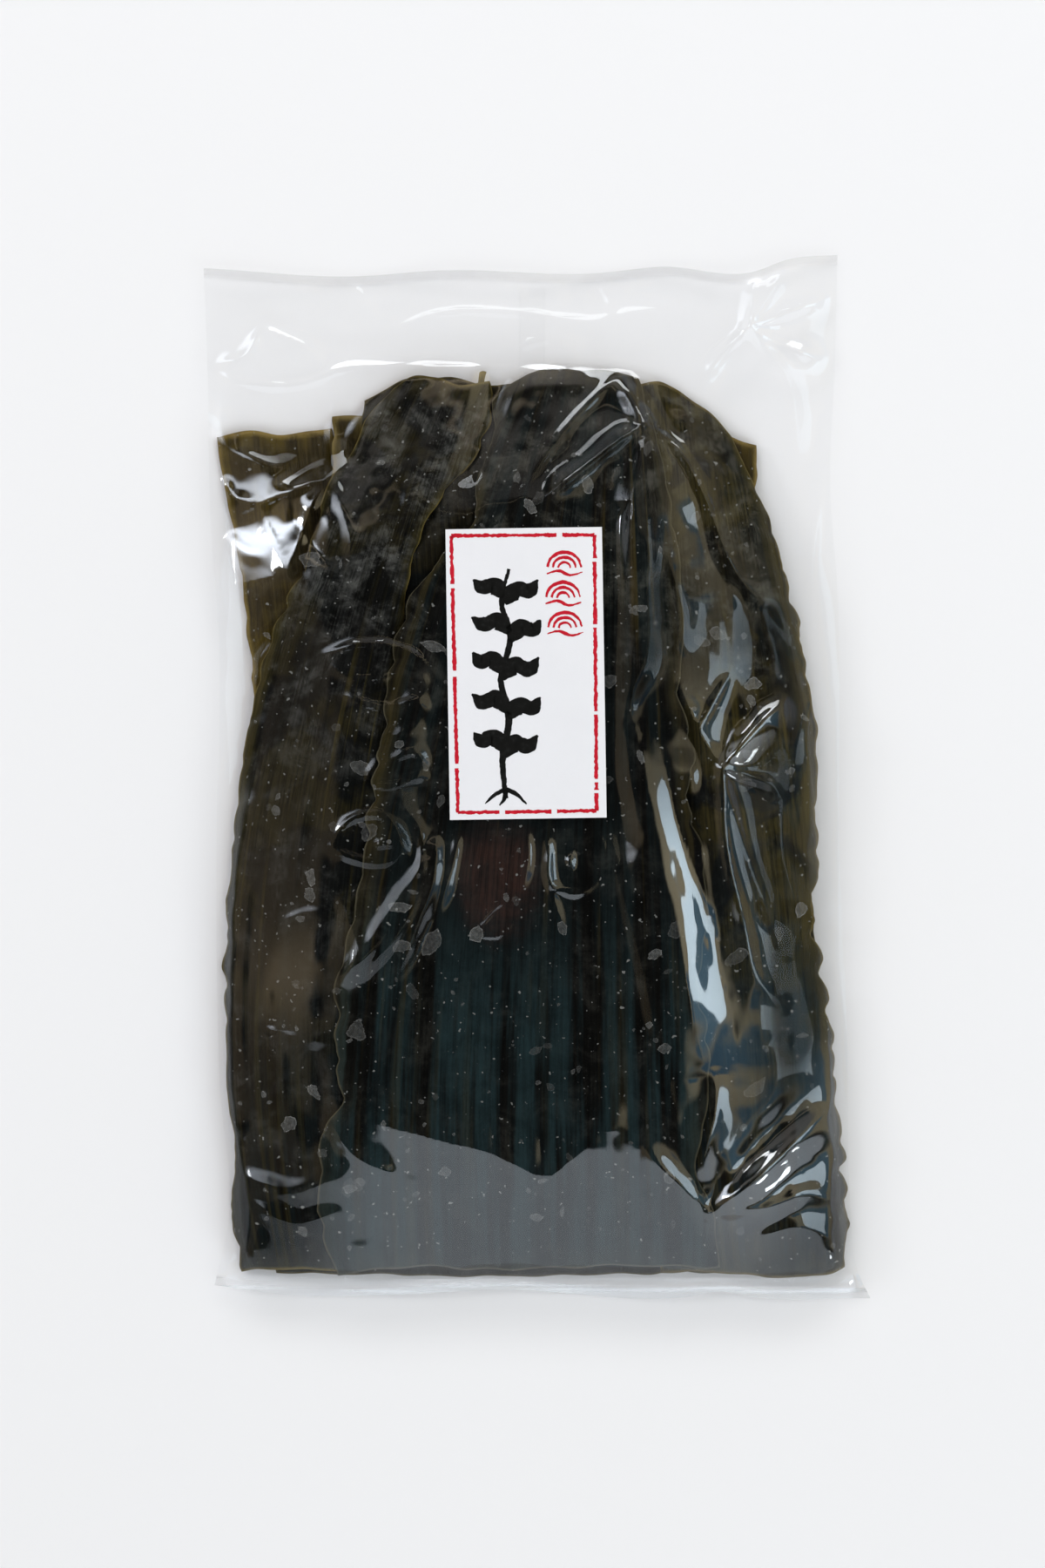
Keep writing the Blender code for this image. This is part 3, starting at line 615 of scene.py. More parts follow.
class Tree:
    """A material's or world's nodes."""

    def __init__(self, owner):
        owner.use_nodes = True
        self.tree = owner.node_tree
        self.tree.nodes.clear()

    def node(self, kind, settings=None, inputs=None):
        """Any node: its settings are set first, then its inputs' values or links. Returns its outputs."""
        node = self.tree.nodes.new(kind)
        for name, value in (settings or {}).items():
            if name == "stops":
                ramp = node.color_ramp
                while len(ramp.elements) < len(value):
                    ramp.elements.new(0.5)
                for element, (place, colour) in zip(ramp.elements, value):
                    element.position = place
                    element.color = (*colour, 1.0)
            else:
                setattr(node, name, value)
        for name, value in (inputs or {}).items():
            if isinstance(value, Socket):
                self.tree.links.new(value.output, node.inputs[name])
            elif value is not None:
                node.inputs[name].default_value = value
        return [Socket(self, output) for output in node.outputs]

    def named(self, kind, output, settings=None, inputs=None):
        """One output of a node, by its name."""
        outputs = self.node(kind, settings, inputs)
        return next(socket for socket in outputs if socket.output.name == output and socket.output.enabled)

    def mix(self, factor, first, second, blend="MIX"):
        """A mix of two colours."""
        settings = {"data_type": "RGBA", "blend_type": blend, "clamp_factor": True}
        node = self.tree.nodes.new("ShaderNodeMix")
        for name, value in settings.items():
            setattr(node, name, value)
        for socket, value in ((node.inputs[0], factor), (node.inputs[6], first), (node.inputs[7], second)):
            if isinstance(value, Socket):
                self.tree.links.new(value.output, socket)
            else:
                socket.default_value = (*value, 1.0) if isinstance(value, (tuple, list)) else value
        return Socket(self, node.outputs[2])

    def object_places(self):
        """Places in the object's own space."""
        return self.named("ShaderNodeTexCoord", "Object")

    def blade_places(self, across, along, turn=0.0, shift=(0.0, 0.0)):
        """Places on a blade's own map, in cells that are across by along metres."""
        uv = self.named("ShaderNodeUVMap", "UV", {"uv_map": "blade"})
        inputs = {
            "Vector": uv,
            "Scale": (1.0 / across, 1.0 / along, 1.0),
            "Rotation": (0.0, 0.0, turn),
            "Location": (shift[0], shift[1], 0.0),
        }
        return self.node("ShaderNodeMapping", {}, inputs)[0]

    def noise(self, places, scale=1.0, detail=2.0, roughness=0.5, distortion=0.0):
        """Noise from 0 to 1."""
        inputs = {"Vector": places, "Scale": scale, "Detail": detail, "Roughness": roughness,
                  "Distortion": distortion}
        return self.node("ShaderNodeTexNoise", {"noise_dimensions": "3D"}, inputs)[0]

    def value_of(self, name):
        """A value kept at the mesh's points."""
        return self.named("ShaderNodeAttribute", "Fac", {"attribute_name": name})

    def bump(self, height, distance, strength=1.0, normal=None):
        inputs = {"Height": height, "Distance": distance, "Strength": strength, "Normal": normal}
        return self.node("ShaderNodeBump", {}, inputs)[0]

    def principled(self, **inputs):
        """The one shader, with sockets named by words joined with underscores."""
        names = {name: name.replace("_", " ") for name in inputs}
        values = {names[name]: value for name, value in inputs.items()}
        return self.node("ShaderNodeBsdfPrincipled", {}, values)[0]

    def output(self, surface):
        self.node("ShaderNodeOutputMaterial", {}, {"Surface": surface})


def new_material(name):
    material = bpy.data.materials.new(name)
    return material, Tree(material)


def rgba(colour):
    return (*colour, 1.0)


# ---------------------------------------------------------------------------------------------------------
# Sizes and colours that a user would change.


class KelpBagSizes(bpy.types.PropertyGroup):
    film_clearance: FloatProperty(
        name="Film Clearance", description="Least gap between the film and the kelp",
        default=0.3 * MM, min=0.0, unit="LENGTH",
    )
    film_inset: FloatProperty(
        name="Film Inset", description="How far the film lies inside the solid that it stands for",
        default=0.35 * MM, min=0.0, unit="LENGTH",
    )
    blade_thickness: FloatProperty(
        name="Blade Thickness", description="Thickness of one dried blade",
        default=0.9 * MM, min=0.0, unit="LENGTH",
    )
    blade_drop: FloatProperty(
        name="Blade Drop", description="How far the highest blades lie under the film",
        default=1.5 * MM, min=0.0, unit="LENGTH",
    )
    ink_rise: FloatProperty(
        name="Ink Rise", description="How far the print lies above the label's paper",
        default=0.05 * MM, min=0.0, unit="LENGTH",
    )


class KelpBagColours(bpy.types.PropertyGroup):
    paper: FloatVectorProperty(
        name="Paper", description="Colour of the label's paper", subtype="COLOR",
        default=(0.83, 0.82, 0.85), min=0.0, max=1.0,
    )
    black_ink: FloatVectorProperty(
        name="Black Ink", description="Colour of the brushed frond", subtype="COLOR",
        default=(0.004, 0.004, 0.0035), min=0.0, max=1.0,
    )
    red_ink: FloatVectorProperty(
        name="Red Ink", description="Colour of the border and the waves", subtype="COLOR",
        default=(0.50, 0.008, 0.022), min=0.0, max=1.0,
    )
    flake: FloatVectorProperty(
        name="Flake", description="Colour of the pale flakes on the kelp", subtype="COLOR",
        default=(0.28, 0.28, 0.27), min=0.0, max=1.0,
    )
    floor: FloatVectorProperty(
        name="Floor", description="Colour of the floor", subtype="COLOR",
        default=(0.890, 0.876, 0.888), min=0.0, max=1.0,
    )


# ---------------------------------------------------------------------------------------------------------
# Materials.

# Each kelp finish. Shares say how much of a tint shows, and the rim's reach is in mm. Painted light among them:
# the sheen is dust with a painted sheen, the rim is painted rim light, and the warm tint also paints a glow near the
# rim.
BLACK_KELP = (0.0012, 0.0012, 0.0009)
KELP_FINISHES = {
    "dark": dict(patch_share=0.3, common=BLACK_KELP, sheen=(0.050, 0.050, 0.046), sheen_share=0.6,
                 cool=(0.008, 0.018, 0.020), cool_share=0.4, warm=(0.034, 0.025, 0.008), warm_share=0.4,
                 rim=(0.09, 0.07, 0.025), rim_reach=0.8),
    "left": dict(patch_share=0.25, common=BLACK_KELP, sheen=(0.096, 0.096, 0.089), sheen_share=0.95,
                 cool=(0.006, 0.012, 0.013), cool_share=0.5, warm=(0.056, 0.044, 0.010), warm_share=0.55,
                 rim=(0.12, 0.09, 0.025), rim_reach=1.3),
    "front": dict(patch_share=0.0, common=BLACK_KELP, sheen=(0.062, 0.060, 0.050), sheen_share=0.8,
                  cool=(0.0140, 0.0290, 0.0320), cool_share=1.0, warm=(0.045, 0.033, 0.009), warm_share=0.6,
                  rim=(0.080, 0.072, 0.045), rim_reach=0.9),
    "right": dict(patch_share=0.55, common=(0.0020, 0.0019, 0.0012), sheen=(0.092, 0.089, 0.072),
                  sheen_share=0.75, cool=(0.014, 0.026, 0.031), cool_share=0.6, warm=(0.054, 0.042, 0.010),
                  warm_share=0.8, rim=(0.12, 0.09, 0.03), rim_reach=1.5),
    "brown": dict(patch_share=0.7, common=(0.012, 0.0085, 0.003), sheen=(0.080, 0.070, 0.045),
                  sheen_share=0.7, cool=(0.02, 0.02, 0.014), cool_share=0.5, warm=(0.075, 0.054, 0.013),
                  warm_share=0.7, rim=(0.15, 0.11, 0.035), rim_reach=2.2),
    "amber": dict(patch_share=0.8, common=(0.013, 0.0090, 0.0028), sheen=(0.080, 0.068, 0.038),
                  sheen_share=0.5, cool=(0.008, 0.007, 0.0035), cool_share=0.7, warm=(0.076, 0.053, 0.008),
                  warm_share=0.9, rim=(0.19, 0.135, 0.04), rim_reach=2.6),
}


def kelp_material(finish):
    """Leathery dried blade: mottled and streaked along its length, with dust and a painted sheen higher up, teal
    lower down, with a painted golden glow of light through it where it thins towards its rim, and painted rim light."""
    material, tree = new_material("kelp_" + finish)
    look = KELP_FINISHES[finish]
    places = tree.object_places()
    x, y = tree.node("ShaderNodeSeparateXYZ", {}, {"Vector": places})[:2]
    fibres = tree.noise(tree.blade_places(0.0012, 0.024), detail=4.0, roughness=0.7)
    bands = tree.noise(tree.blade_places(0.0070, 0.130, shift=(3.1, 0.7)), detail=3.0, roughness=0.6)
    stripes = tree.noise(tree.blade_places(0.0045, 0.150, shift=(9.4, 4.2)), detail=2.0)
    broad = tree.noise(tree.blade_places(0.030, 0.070, shift=(7.7, 2.9)), detail=2.0)
    mottle = tree.noise(places, scale=110.0, detail=6.0, roughness=0.72, distortion=0.4)
    grain = tree.noise(places, scale=1300.0, detail=2.0)
    dots = tree.noise(places, scale=620.0, detail=1.0)
    edge = tree.value_of("edge")
    # Painted sheen: the dusty grey below is mixed in more strongly higher up each blade, as a sheen of light from
    # above.
    high = y.rise(-10.0 * MM, 80.0 * MM)
    low = y.rise(-30.0 * MM, -90.0 * MM)
    blotch = tree.noise(places, scale=62.0, detail=5.0, roughness=0.62, distortion=0.8)
    dust_and_sheen = (mottle * 0.75 + fibres * 0.25).rise(0.42, 0.64) * (0.30 + high * 0.70) * blotch.rise(0.40, 0.62, 0.06, 1.0)
    cool_mask = bands.rise(0.40, 0.60) * (0.25 + low * 0.75) * mottle.rise(0.25, 0.65, 0.6, 1.0)
    warm_mask = stripes.rise(0.56, 0.70) * broad.rise(0.35, 0.60) * fibres.rise(0.3, 0.6, 0.5, 1.0)
    warmth = 1.0 - low * 0.6
    warm_mask = warm_mask * warmth
    colour = tree.mix(fibres.rise(0.35, 0.75), look["common"], tuple(2.6 * part for part in look["common"]))
    colour = tree.mix(dust_and_sheen * look["sheen_share"], colour, look["sheen"])
    colour = tree.mix(cool_mask * look["cool_share"] * fibres.rise(0.25, 0.65, 0.5, 1.0), colour, look["cool"])
    colour = tree.mix(warm_mask * look["warm_share"], colour, look["warm"])
    patches = tree.noise(places, scale=34.0, detail=4.0, roughness=0.6, distortion=0.5).rise(0.48, 0.60)
    colour = tree.mix(patches * fibres.rise(0.25, 0.65) * warmth * look["patch_share"], colour, look["warm"])
    # Painted light: a golden glow of light through the blade near its rim.
    painted_rim_glow = (1.0 - edge.rise(0.0, 10.0 * MM)) * bands.rise(0.35, 0.60) * warmth * look["warm_share"]
    colour = tree.mix(painted_rim_glow * mottle.rise(0.2, 0.6, 0.4, 1.0), colour, look["warm"])
    if finish == "front":
        # Painted reflection: a red-brown patch below the label stands for a warm reflection in the film.
        across, along = (x + 13.0 * MM) / (14.0 * MM), (y + 33.0 * MM) / (20.0 * MM)
        painted_red_reflection = ((across * across + along * along) ** 0.5 + (mottle - 0.5) * 0.7).rise(1.25, 0.4)
        painted_red_reflection = painted_red_reflection * bands.rise(0.35, 0.6, 0.2, 1.0) * blotch.rise(0.3, 0.6, 0.3, 1.0) * fibres.rise(0.3, 0.6, 0.35, 1.0)
        colour = tree.mix(painted_red_reflection * 0.9, colour, (0.036, 0.018, 0.014))
    # Painted rim light: the rim colour stands for light through the thin edge and highlights on it.
    thin = (1.0 - edge.rise(0.0, look["rim_reach"] * MM)) * mottle.rise(0.25, 0.6, 0.3, 1.0)
    colour = tree.mix(thin, colour, look["rim"])
    colour = tree.mix(dots.rise(0.72, 0.76) * 0.7, colour, (0.24, 0.24, 0.23))
    height = fibres * 0.45 + grain * 0.2 + mottle * 0.8
    shader = tree.principled(
        Base_Color=colour,
        Roughness=mottle.rise(0.3, 0.8, 0.38, 0.62),
        Specular_IOR_Level=0.035,
        Normal=tree.bump(height, 0.0006, 0.8),
    )
    tree.output(shader)
    return material


def film_material():
    """Thin clear film: it lets light through, and mirrors more of it the flatter it is seen."""
    material, tree = new_material("clear_film")
    facing = tree.named("ShaderNodeLayerWeight", "Facing", {}, {"Blend": 0.5})
    seal = tree.value_of("seal")
    taut = tree.value_of("over_kelp")
    face_on = taut.rise(0.0, 1.0, 0.02, 0.085)
    mirror = (face_on + (1.0 - face_on) * facing ** 5.0) * tree.value_of("gleam")
    stretched = tree.node("ShaderNodeMapping", {}, {"Vector": tree.object_places(), "Scale": (16.0, 560.0, 1.0)})[0]
    streaks = tree.noise(stretched, detail=3.0).rise(0.38, 0.66) * tree.value_of("flap")
    ripple = tree.noise(tree.object_places(), scale=55.0, detail=1.0)
    shader = tree.principled(
        Base_Color=rgba((0.94, 0.97, 1.0)),
        Metallic=1.0,
        Roughness=seal.rise(0.0, 1.0, 0.06, 0.3),
        Alpha=(mirror + seal * 0.09 + streaks * 0.30).least(1.0),
        Normal=tree.bump(ripple, 0.0012, 0.10),
    )
    tree.output(shader)
    return material


def flake_material(colour):
    """Pale dried film on the kelp, with a brighter rim."""
    material, tree = new_material("pale_flake")
    rim, strength = tree.value_of("rim"), tree.value_of("strength")
    cloud = tree.noise(tree.object_places(), scale=900.0, detail=2.0)
    shader = tree.principled(
        Base_Color=rgba(colour),
        Roughness=0.55,
        Alpha=strength * (rim.rise(0.84, 1.0) * 0.45 + 0.30) * cloud.rise(0.3, 0.7, 0.5, 1.0),
    )
    tree.output(shader)
    return material


def paper_material(colour):
    """Coated label paper with a faint cloudy tooth."""
    material, tree = new_material("label_paper")
    cloud = tree.noise(tree.object_places(), scale=70.0, detail=3.0)
    tooth = tree.noise(tree.object_places(), scale=2600.0, detail=2.0)
    shader = tree.principled(
        Base_Color=tree.mix(cloud.rise(0.3, 0.8) * 0.3, colour, tuple(0.9 * part for part in colour)),
        Roughness=cloud.rise(0.2, 0.8, 0.42, 0.55),
        Normal=tree.bump(tooth, 0.00008, 0.5),
    )
    tree.output(shader)
    return material


def ink_material(name, colour):
    """Brushed ink, a little uneven where the brush ran dry."""
    material, tree = new_material(name)
    dry = tree.noise(tree.object_places(), scale=700.0, detail=3.0)
    lighter = tuple(min(1.0, 1.35 * part + 0.006) for part in colour)
    shader = tree.principled(
        Base_Color=tree.mix(dry.rise(0.5, 0.8), tuple(colour), lighter),
        Roughness=dry.rise(0.3, 0.7, 0.45, 0.6),
        Specular_IOR_Level=0.12,
    )
    tree.output(shader)
    return material


def floor_material(colour):
    """Matt pale floor."""
    material, tree = new_material("pale_floor")
    cloud = tree.noise(tree.object_places(), scale=3.0, detail=2.0)
    shader = tree.principled(
        Base_Color=tree.mix(cloud.rise(0.2, 0.8) * 0.2, tuple(colour), tuple(0.97 * part for part in colour)),
        Roughness=0.6,
        Specular_IOR_Level=0.2,
    )
    tree.output(shader)
    return material


# ---------------------------------------------------------------------------------------------------------
# The stack of blades.


class Stack:
    """What the operators share: the height of the film over the blades, and of the blades laid so far."""

    film = None
    kelp_top = None
    inside_front = None
    levels = {}


def measure_stack(blade_drop):
    """Reads the solid bag, and works out how high each blade lies at each place."""
    film = Field()
    film.heights = filled(node_heights("bag", film.grid_x, film.grid_y, True))
    shaped = folded(film.grid_x, film.grid_y, FULLER + [fold for fold in FOLDS if fold[2] < 0])
    room = Field(np.minimum(blurred(film.heights + shaped, 4.0), CEILING - 0.6) - blade_drop / MM)
    shares, laid = [], np.zeros(film.grid_x.shape)
    Stack.inside_front = Field(np.full(film.grid_x.shape, -99.0))
    for blade in BLADES:
        inside = distance_inside(outline_of(blade), film.grid_x, film.grid_y)
        if blade["name"] in FLAKED_BLADES:
            Stack.inside_front.heights = np.maximum(Stack.inside_front.heights, inside)
        laid = laid + smoothstep(-7.0, 7.0, inside)
        shares.append(laid)
    for blade, share in zip(BLADES, shares):
        Stack.levels[blade["name"]] = Field(room.heights * share / np.maximum(laid, 1.0))
    Stack.film = film
    Stack.kelp_top = Field()


def lanes(blade, x, y):
    """How far across a blade each place lies, from 0 to 1, along lanes that don't follow its ruffled sides."""
    left, right = (np.polyval(np.polyfit(*zip(*blade[side]), 2), y) for side in ("left", "right"))
    return (x - left) / (right - left)


def blade_relief(blade, u, v, lane, width, length):
    """Height of a blade's pleats, waves and ruffled edges, and how far its edges wave sideways, in mm."""
    seed = blade["seed"]
    across, along = lane * width, v * length
    to_side = np.minimum(u, 1.0 - u) * width
    drift = wave_noise(across * 0.3, along, 40.0, seed) * 0.35
    turns = np.random.default_rng(seed).uniform(0.0, 2 * np.pi, 6)
    pleats = sum(
        size * np.cos(2 * np.pi * (across / pitch + drift) + turns[k])
        for k, (pitch, size) in enumerate([(6.5, 0.05), (9.7, 0.12), (16.0, 0.26)])
    )
    waves = wave_noise(across, along * 0.6, 24.0, seed + 1) * 0.55 + wave_noise(across, along * 0.6, 9.0, seed + 2) * 0.18
    side = np.where(u < 0.5, 40.0, 80.0)
    swell = 0.7 + 0.6 * wave_noise(side, along, 33.0, seed + 3)
    roll = wave_noise(side, along, 8.5, seed + 4) + 0.4 * wave_noise(side, along, 3.6, seed + 5)
    lobes = np.abs(np.sin(np.pi * along / 14.0 + 2.6 * wave_noise(side, along, 34.0, seed + 9))) - 0.64
    ruffle = blade["ruffle"] * swell * np.exp(-to_side / 7.0) * (roll + 0.7 * lobes)
    notch = wave_noise(side, along, 6.5, seed + 7) + 0.55 * wave_noise(side, along, 2.8, seed + 8)
    outwards = np.where(u < 0.5, -1.0, 1.0) * np.exp(-to_side / 4.0)
    sway = outwards * blade["sway"] * swell * (0.8 * notch + 1.2 * lobes)
    droop = -0.5 * np.exp(-to_side / 3.0)
    return pleats + waves + ruffle + droop, sway


def lay_blade(blade, thickness):
    """One blade as a closed sheet that follows its level in the stack."""
    outline = outline_of(blade)
    width = np.ptp(outline[:, 0])
    length = np.ptp(outline[:, 1])
    grain = 1.4 if blade["name"].startswith("under") else 1.0
    cells = (max(6, int(width / (0.95 * grain))), max(8, int(length / (1.15 * grain))))
    level = Stack.levels[blade["name"]]
    made = {}

    def surface(u, v, layer):
        x, y = patch_places(blade, u, v)
        lane = lanes(blade, x, y)
        relief, sway = blade_relief(blade, u, v, lane, width, length)
        ends = 0.35 * np.sin(x / 3.1 + blade["seed"]) + 0.5 * wave_noise(x, y * 0, 7.0, blade["seed"] + 6)
        y = y + ends * (np.exp(-v * length / 3.0) + np.exp(-(1 - v) * length / 3.0))
        x = x + sway
        top = np.maximum(level.read(x, y) + relief, 0.5 + thickness / MM)
        made["top"] = (x, y, top)
        made["lane"] = lane
        return x, y, top - (1.0 - layer) * thickness / MM

    mesh, u, v = grid_mesh(blade["name"], cells, surface, closed=True)
    x, y, top = made["top"]
    Stack.kelp_top.drop(x, y, top)
    add_uv(mesh, made["lane"] * width, y - outline[:, 1].min())
    to_edge = np.minimum(np.minimum(u, 1 - u) * width, np.minimum(v, 1 - v) * length)
    add_values(mesh, "edge", to_edge * MM)
    item = link(blade["name"], mesh, "dried_kelp")
    mesh.materials.append(bpy.data.materials.get("kelp_" + blade["finish"]) or kelp_material(blade["finish"]))
    return item


# How many flakes, their least and greatest half width in mm, how many sides and corners, and the faintest
# share that shows.
FLAKE_KINDS = [(120, 1.5, 5.0, 22, 5, 0.25), (330, 0.4, 1.4, 10, 4, 0.35), (1100, 0.14, 0.36, 6, 3, 0.6)]


def flake_reach(rng, size, sides, corners):
    """How far a flake reaches in each direction, with straight edges between a few uneven corners."""
    turns = (np.arange(corners) + rng.uniform(-0.2, 0.2, corners)) * 2 * np.pi / corners
    reach = size * rng.uniform(0.45, 1.25, corners)
    places = np.stack([reach * np.cos(turns), reach * np.sin(turns)], axis=1)
    radii = np.zeros(sides)
    for k in range(sides):
        turn = 2 * np.pi * k / sides
        after = int(np.searchsorted(turns, turn)) % corners
        a, b = places[after - 1], places[after]
        side = b - a
        radii[k] = (a[0] * b[1] - a[1] * b[0]) / (np.cos(turn) * side[1] - np.sin(turn) * side[0])
    return radii * rng.uniform(0.93, 1.07, sides)


# ---------------------------------------------------------------------------------------------------------
# The film.


def polyline(points, samples=24):
    """A smooth line through given points."""
    points = np.array(points, float)
    steps = np.hypot(*np.diff(points, axis=0).T)
    places = np.concatenate([[0.0], np.cumsum(steps)])
    at = np.linspace(0.0, places[-1], samples)
    return np.stack([curve_through(list(zip(places, points[:, k])), at) for k in (0, 1)], axis=1)


def fold_height(x, y, points, half_widths, height, sharpness):
    """A fold's height at each place: narrow where it starts, wider and fading towards its end."""
    line = polyline(points)
    nearest = np.full(x.shape, np.inf)
    along = np.zeros(x.shape)
    to_left = np.zeros(x.shape, bool)
    for k, ((ax, ay), (bx, by)) in enumerate(zip(line[:-1], line[1:])):
        dx, dy = bx - ax, by - ay
        t = np.clip(((x - ax) * dx + (y - ay) * dy) / max(dx * dx + dy * dy, 1e-9), 0.0, 1.0)
        away = np.hypot(x - ax - t * dx, y - ay - t * dy)
        closer = away < nearest
        nearest = np.where(closer, away, nearest)
        along = np.where(closer, (k + t) / (len(line) - 1), along)
        to_left = np.where(closer, dx * (y - ay) > dy * (x - ax), to_left)
    width = np.where(to_left, half_widths[0], half_widths[1]) * (0.7 + 0.7 * along)
    fade = np.minimum(1.0, 4.0 * along + 0.3) * np.minimum(1.0, 3.0 * (1.0 - along)) ** 0.8
    if sharpness == FLANKS:
        rest = 1.0 - nearest / width
        return height * fade * 0.5 * (rest + np.sqrt(rest * rest + 0.003))
    creased = np.exp(-(np.sqrt(nearest**2 + 0.3**2) - 0.3) / (0.8 * width))
    round_top = np.exp(-((nearest / width) ** 2))
    return height * fade * (creased * sharpness + round_top * (1 - sharpness))


def folded(x, y, folds):
    """All the given folds together at each place."""
    total = np.zeros(x.shape)
    for points, half_widths, height, sharpness in folds:
        reach = 4.5 * max(half_widths)
        corners = np.array(points)
        near = (
            (x > corners[:, 0].min() - reach) & (x < corners[:, 0].max() + reach)
            & (y > corners[:, 1].min() - reach) & (y < corners[:, 1].max() + reach)
        )
        total[near] += fold_height(x[near], y[near], points, half_widths, height, sharpness)
    return total


def film_front(cells, clearance, inset):
    """Places of the front film on its grid."""
    u, v = np.meshgrid(np.linspace(0, 1, cells[0] + 1), np.linspace(0, 1, cells[1] + 1))
    x, y = patch_places(BAG_SIDES, u.ravel(), v.ravel())
    x, y = x.reshape(u.shape), y.reshape(u.shape)
    solid = blurred(filled(node_heights("bag", x * 0.9985, y * 0.9985, True)), 3.0)
    taut = 1.0 - smoothstep(0.6, 1.3, np.hypot((x + 88.0) / 18.0, (y - 75.0) / 15.0))
    solid = solid + (blurred(solid, 10.0) - solid) * taut
    to_edge = distance_inside(outline_of(BAG_SIDES), x, y)
    free = smoothstep(0.0, 7.0, to_edge)
    label_lo, label_hi = (np.array(corner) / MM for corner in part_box("label"))
    off_label = np.maximum(
        np.maximum(label_lo[0] - x, x - label_hi[0]), np.maximum(label_lo[1] - y, y - label_hi[1])
    )
    loose = free * smoothstep(1.5, 9.0, off_label)
    kelp = blurred(spread(Stack.kelp_top.heights, 2), 1.2)
    kelp = Field(kelp).read(x, y) + clearance / MM
    calm = smoothstep(1.0, 1.4, np.hypot((x + 2.0) / 40.0, (y + 74.0) / 42.0))
    calm = calm * smoothstep(1.0, 1.4, np.hypot((x + 88.0) / 19.0, (y - 78.0) / 19.0))
    ripples = (0.2 + 0.8 * calm) * (
        wave_noise(x * 1.6, y, 21.0, 5) * 0.50
        + wave_noise(x * 1.5, y, 10.0, 6) * 0.20
        + wave_noise(x * 1.3, y, 5.0, 7) * 0.06
    )
    foot = smoothstep(-116.0, -126.0, y) * smoothstep(-58.0, -48.0, x) * smoothstep(52.0, 42.0, x)
    ripples *= 1.0 - 0.75 * foot
    brush = smoothstep(-100.0, -112.0, y) * smoothstep(-146.0, -128.0, y)
    ripples += brush * (wave_noise(x, y * 0.4, 6.0, 21) * 0.16 + wave_noise(x, y * 0.4, 2.6, 22) * 0.07)
    height = solid - inset / MM + (folded(x, y, FOLDS + FULLER) + ripples) * loose
    over = height - CEILING
    height = CEILING + 0.5 * (over - np.sqrt(over * over + 1.0))
    gap = height - kelp
    lifted = kelp + 0.5 * (gap + np.sqrt(gap * gap + 0.25))
    height = height * (1 - free) + np.where(loose > 0, lifted, height) * free
    return u, v, x, y, height, to_edge


# ---------------------------------------------------------------------------------------------------------
# The label's print. A stroke is (points in mm, widths in mm along it, roughness of its edge in mm).

BORDER_CORNERS = [(-27.4, 76.6), (18.2, 76.9), (18.8, -10.9), (-25.2, -11.5)]
BORDER_BREAKS = [(0.73, 0.77), (), (0.66, 0.71), (0.19, 0.21), ()]


def border_strokes():
    """A broken, uneven red line round the label, brushed side by side."""
    breaks = [
        [(0.0, 0.735), (0.775, 1.0)],
        [(0.0, 0.085), (0.098, 0.325), (0.337, 0.64), (0.652, 0.885), (0.897, 0.925), (0.936, 1.0)],
        [(0.0, 0.285), (0.325, 0.66), (0.70, 1.0)],
        [(0.0, 0.16), (0.176, 0.49), (0.512, 0.81), (0.825, 1.0)],
    ]
    strokes = []
    for k, pieces in enumerate(breaks):
        (ax, ay), (bx, by) = BORDER_CORNERS[k], BORDER_CORNERS[(k + 1) % 4]
        for start, end in pieces:
            points = [(ax + (bx - ax) * t, ay + (by - ay) * t) for t in (start, (start + end) / 2, end)]
            strokes.append((points, (1.2, 1.0, 1.2), 0.20))
    return strokes


def wave_strokes():
    """Three small stacks of red arcs, like waves."""
    strokes = []
    for row, (cx, cy) in enumerate([(8.6, 66.2), (8.2, 56.6), (8.8, 47.0)]):
        for ring, radius in enumerate((5.4, 3.7, 2.0)):
            turns = np.linspace(0.06 + 0.03 * row, np.pi - 0.08, 7)
            points = [(cx + radius * np.cos(t), cy + radius * 0.95 * np.sin(t)) for t in turns]
            strokes.append((points, (0.5, 1.25 - 0.2 * ring, 0.7), 0.10))
        tail = [(cx - 5.6, cy - 1.7), (cx - 2.0, cy - 0.8), (cx + 2.0, cy - 2.2), (cx + 5.8, cy - 1.2)]
        strokes.append((tail, (0.4, 1.1, 0.3), 0.10))
    return strokes


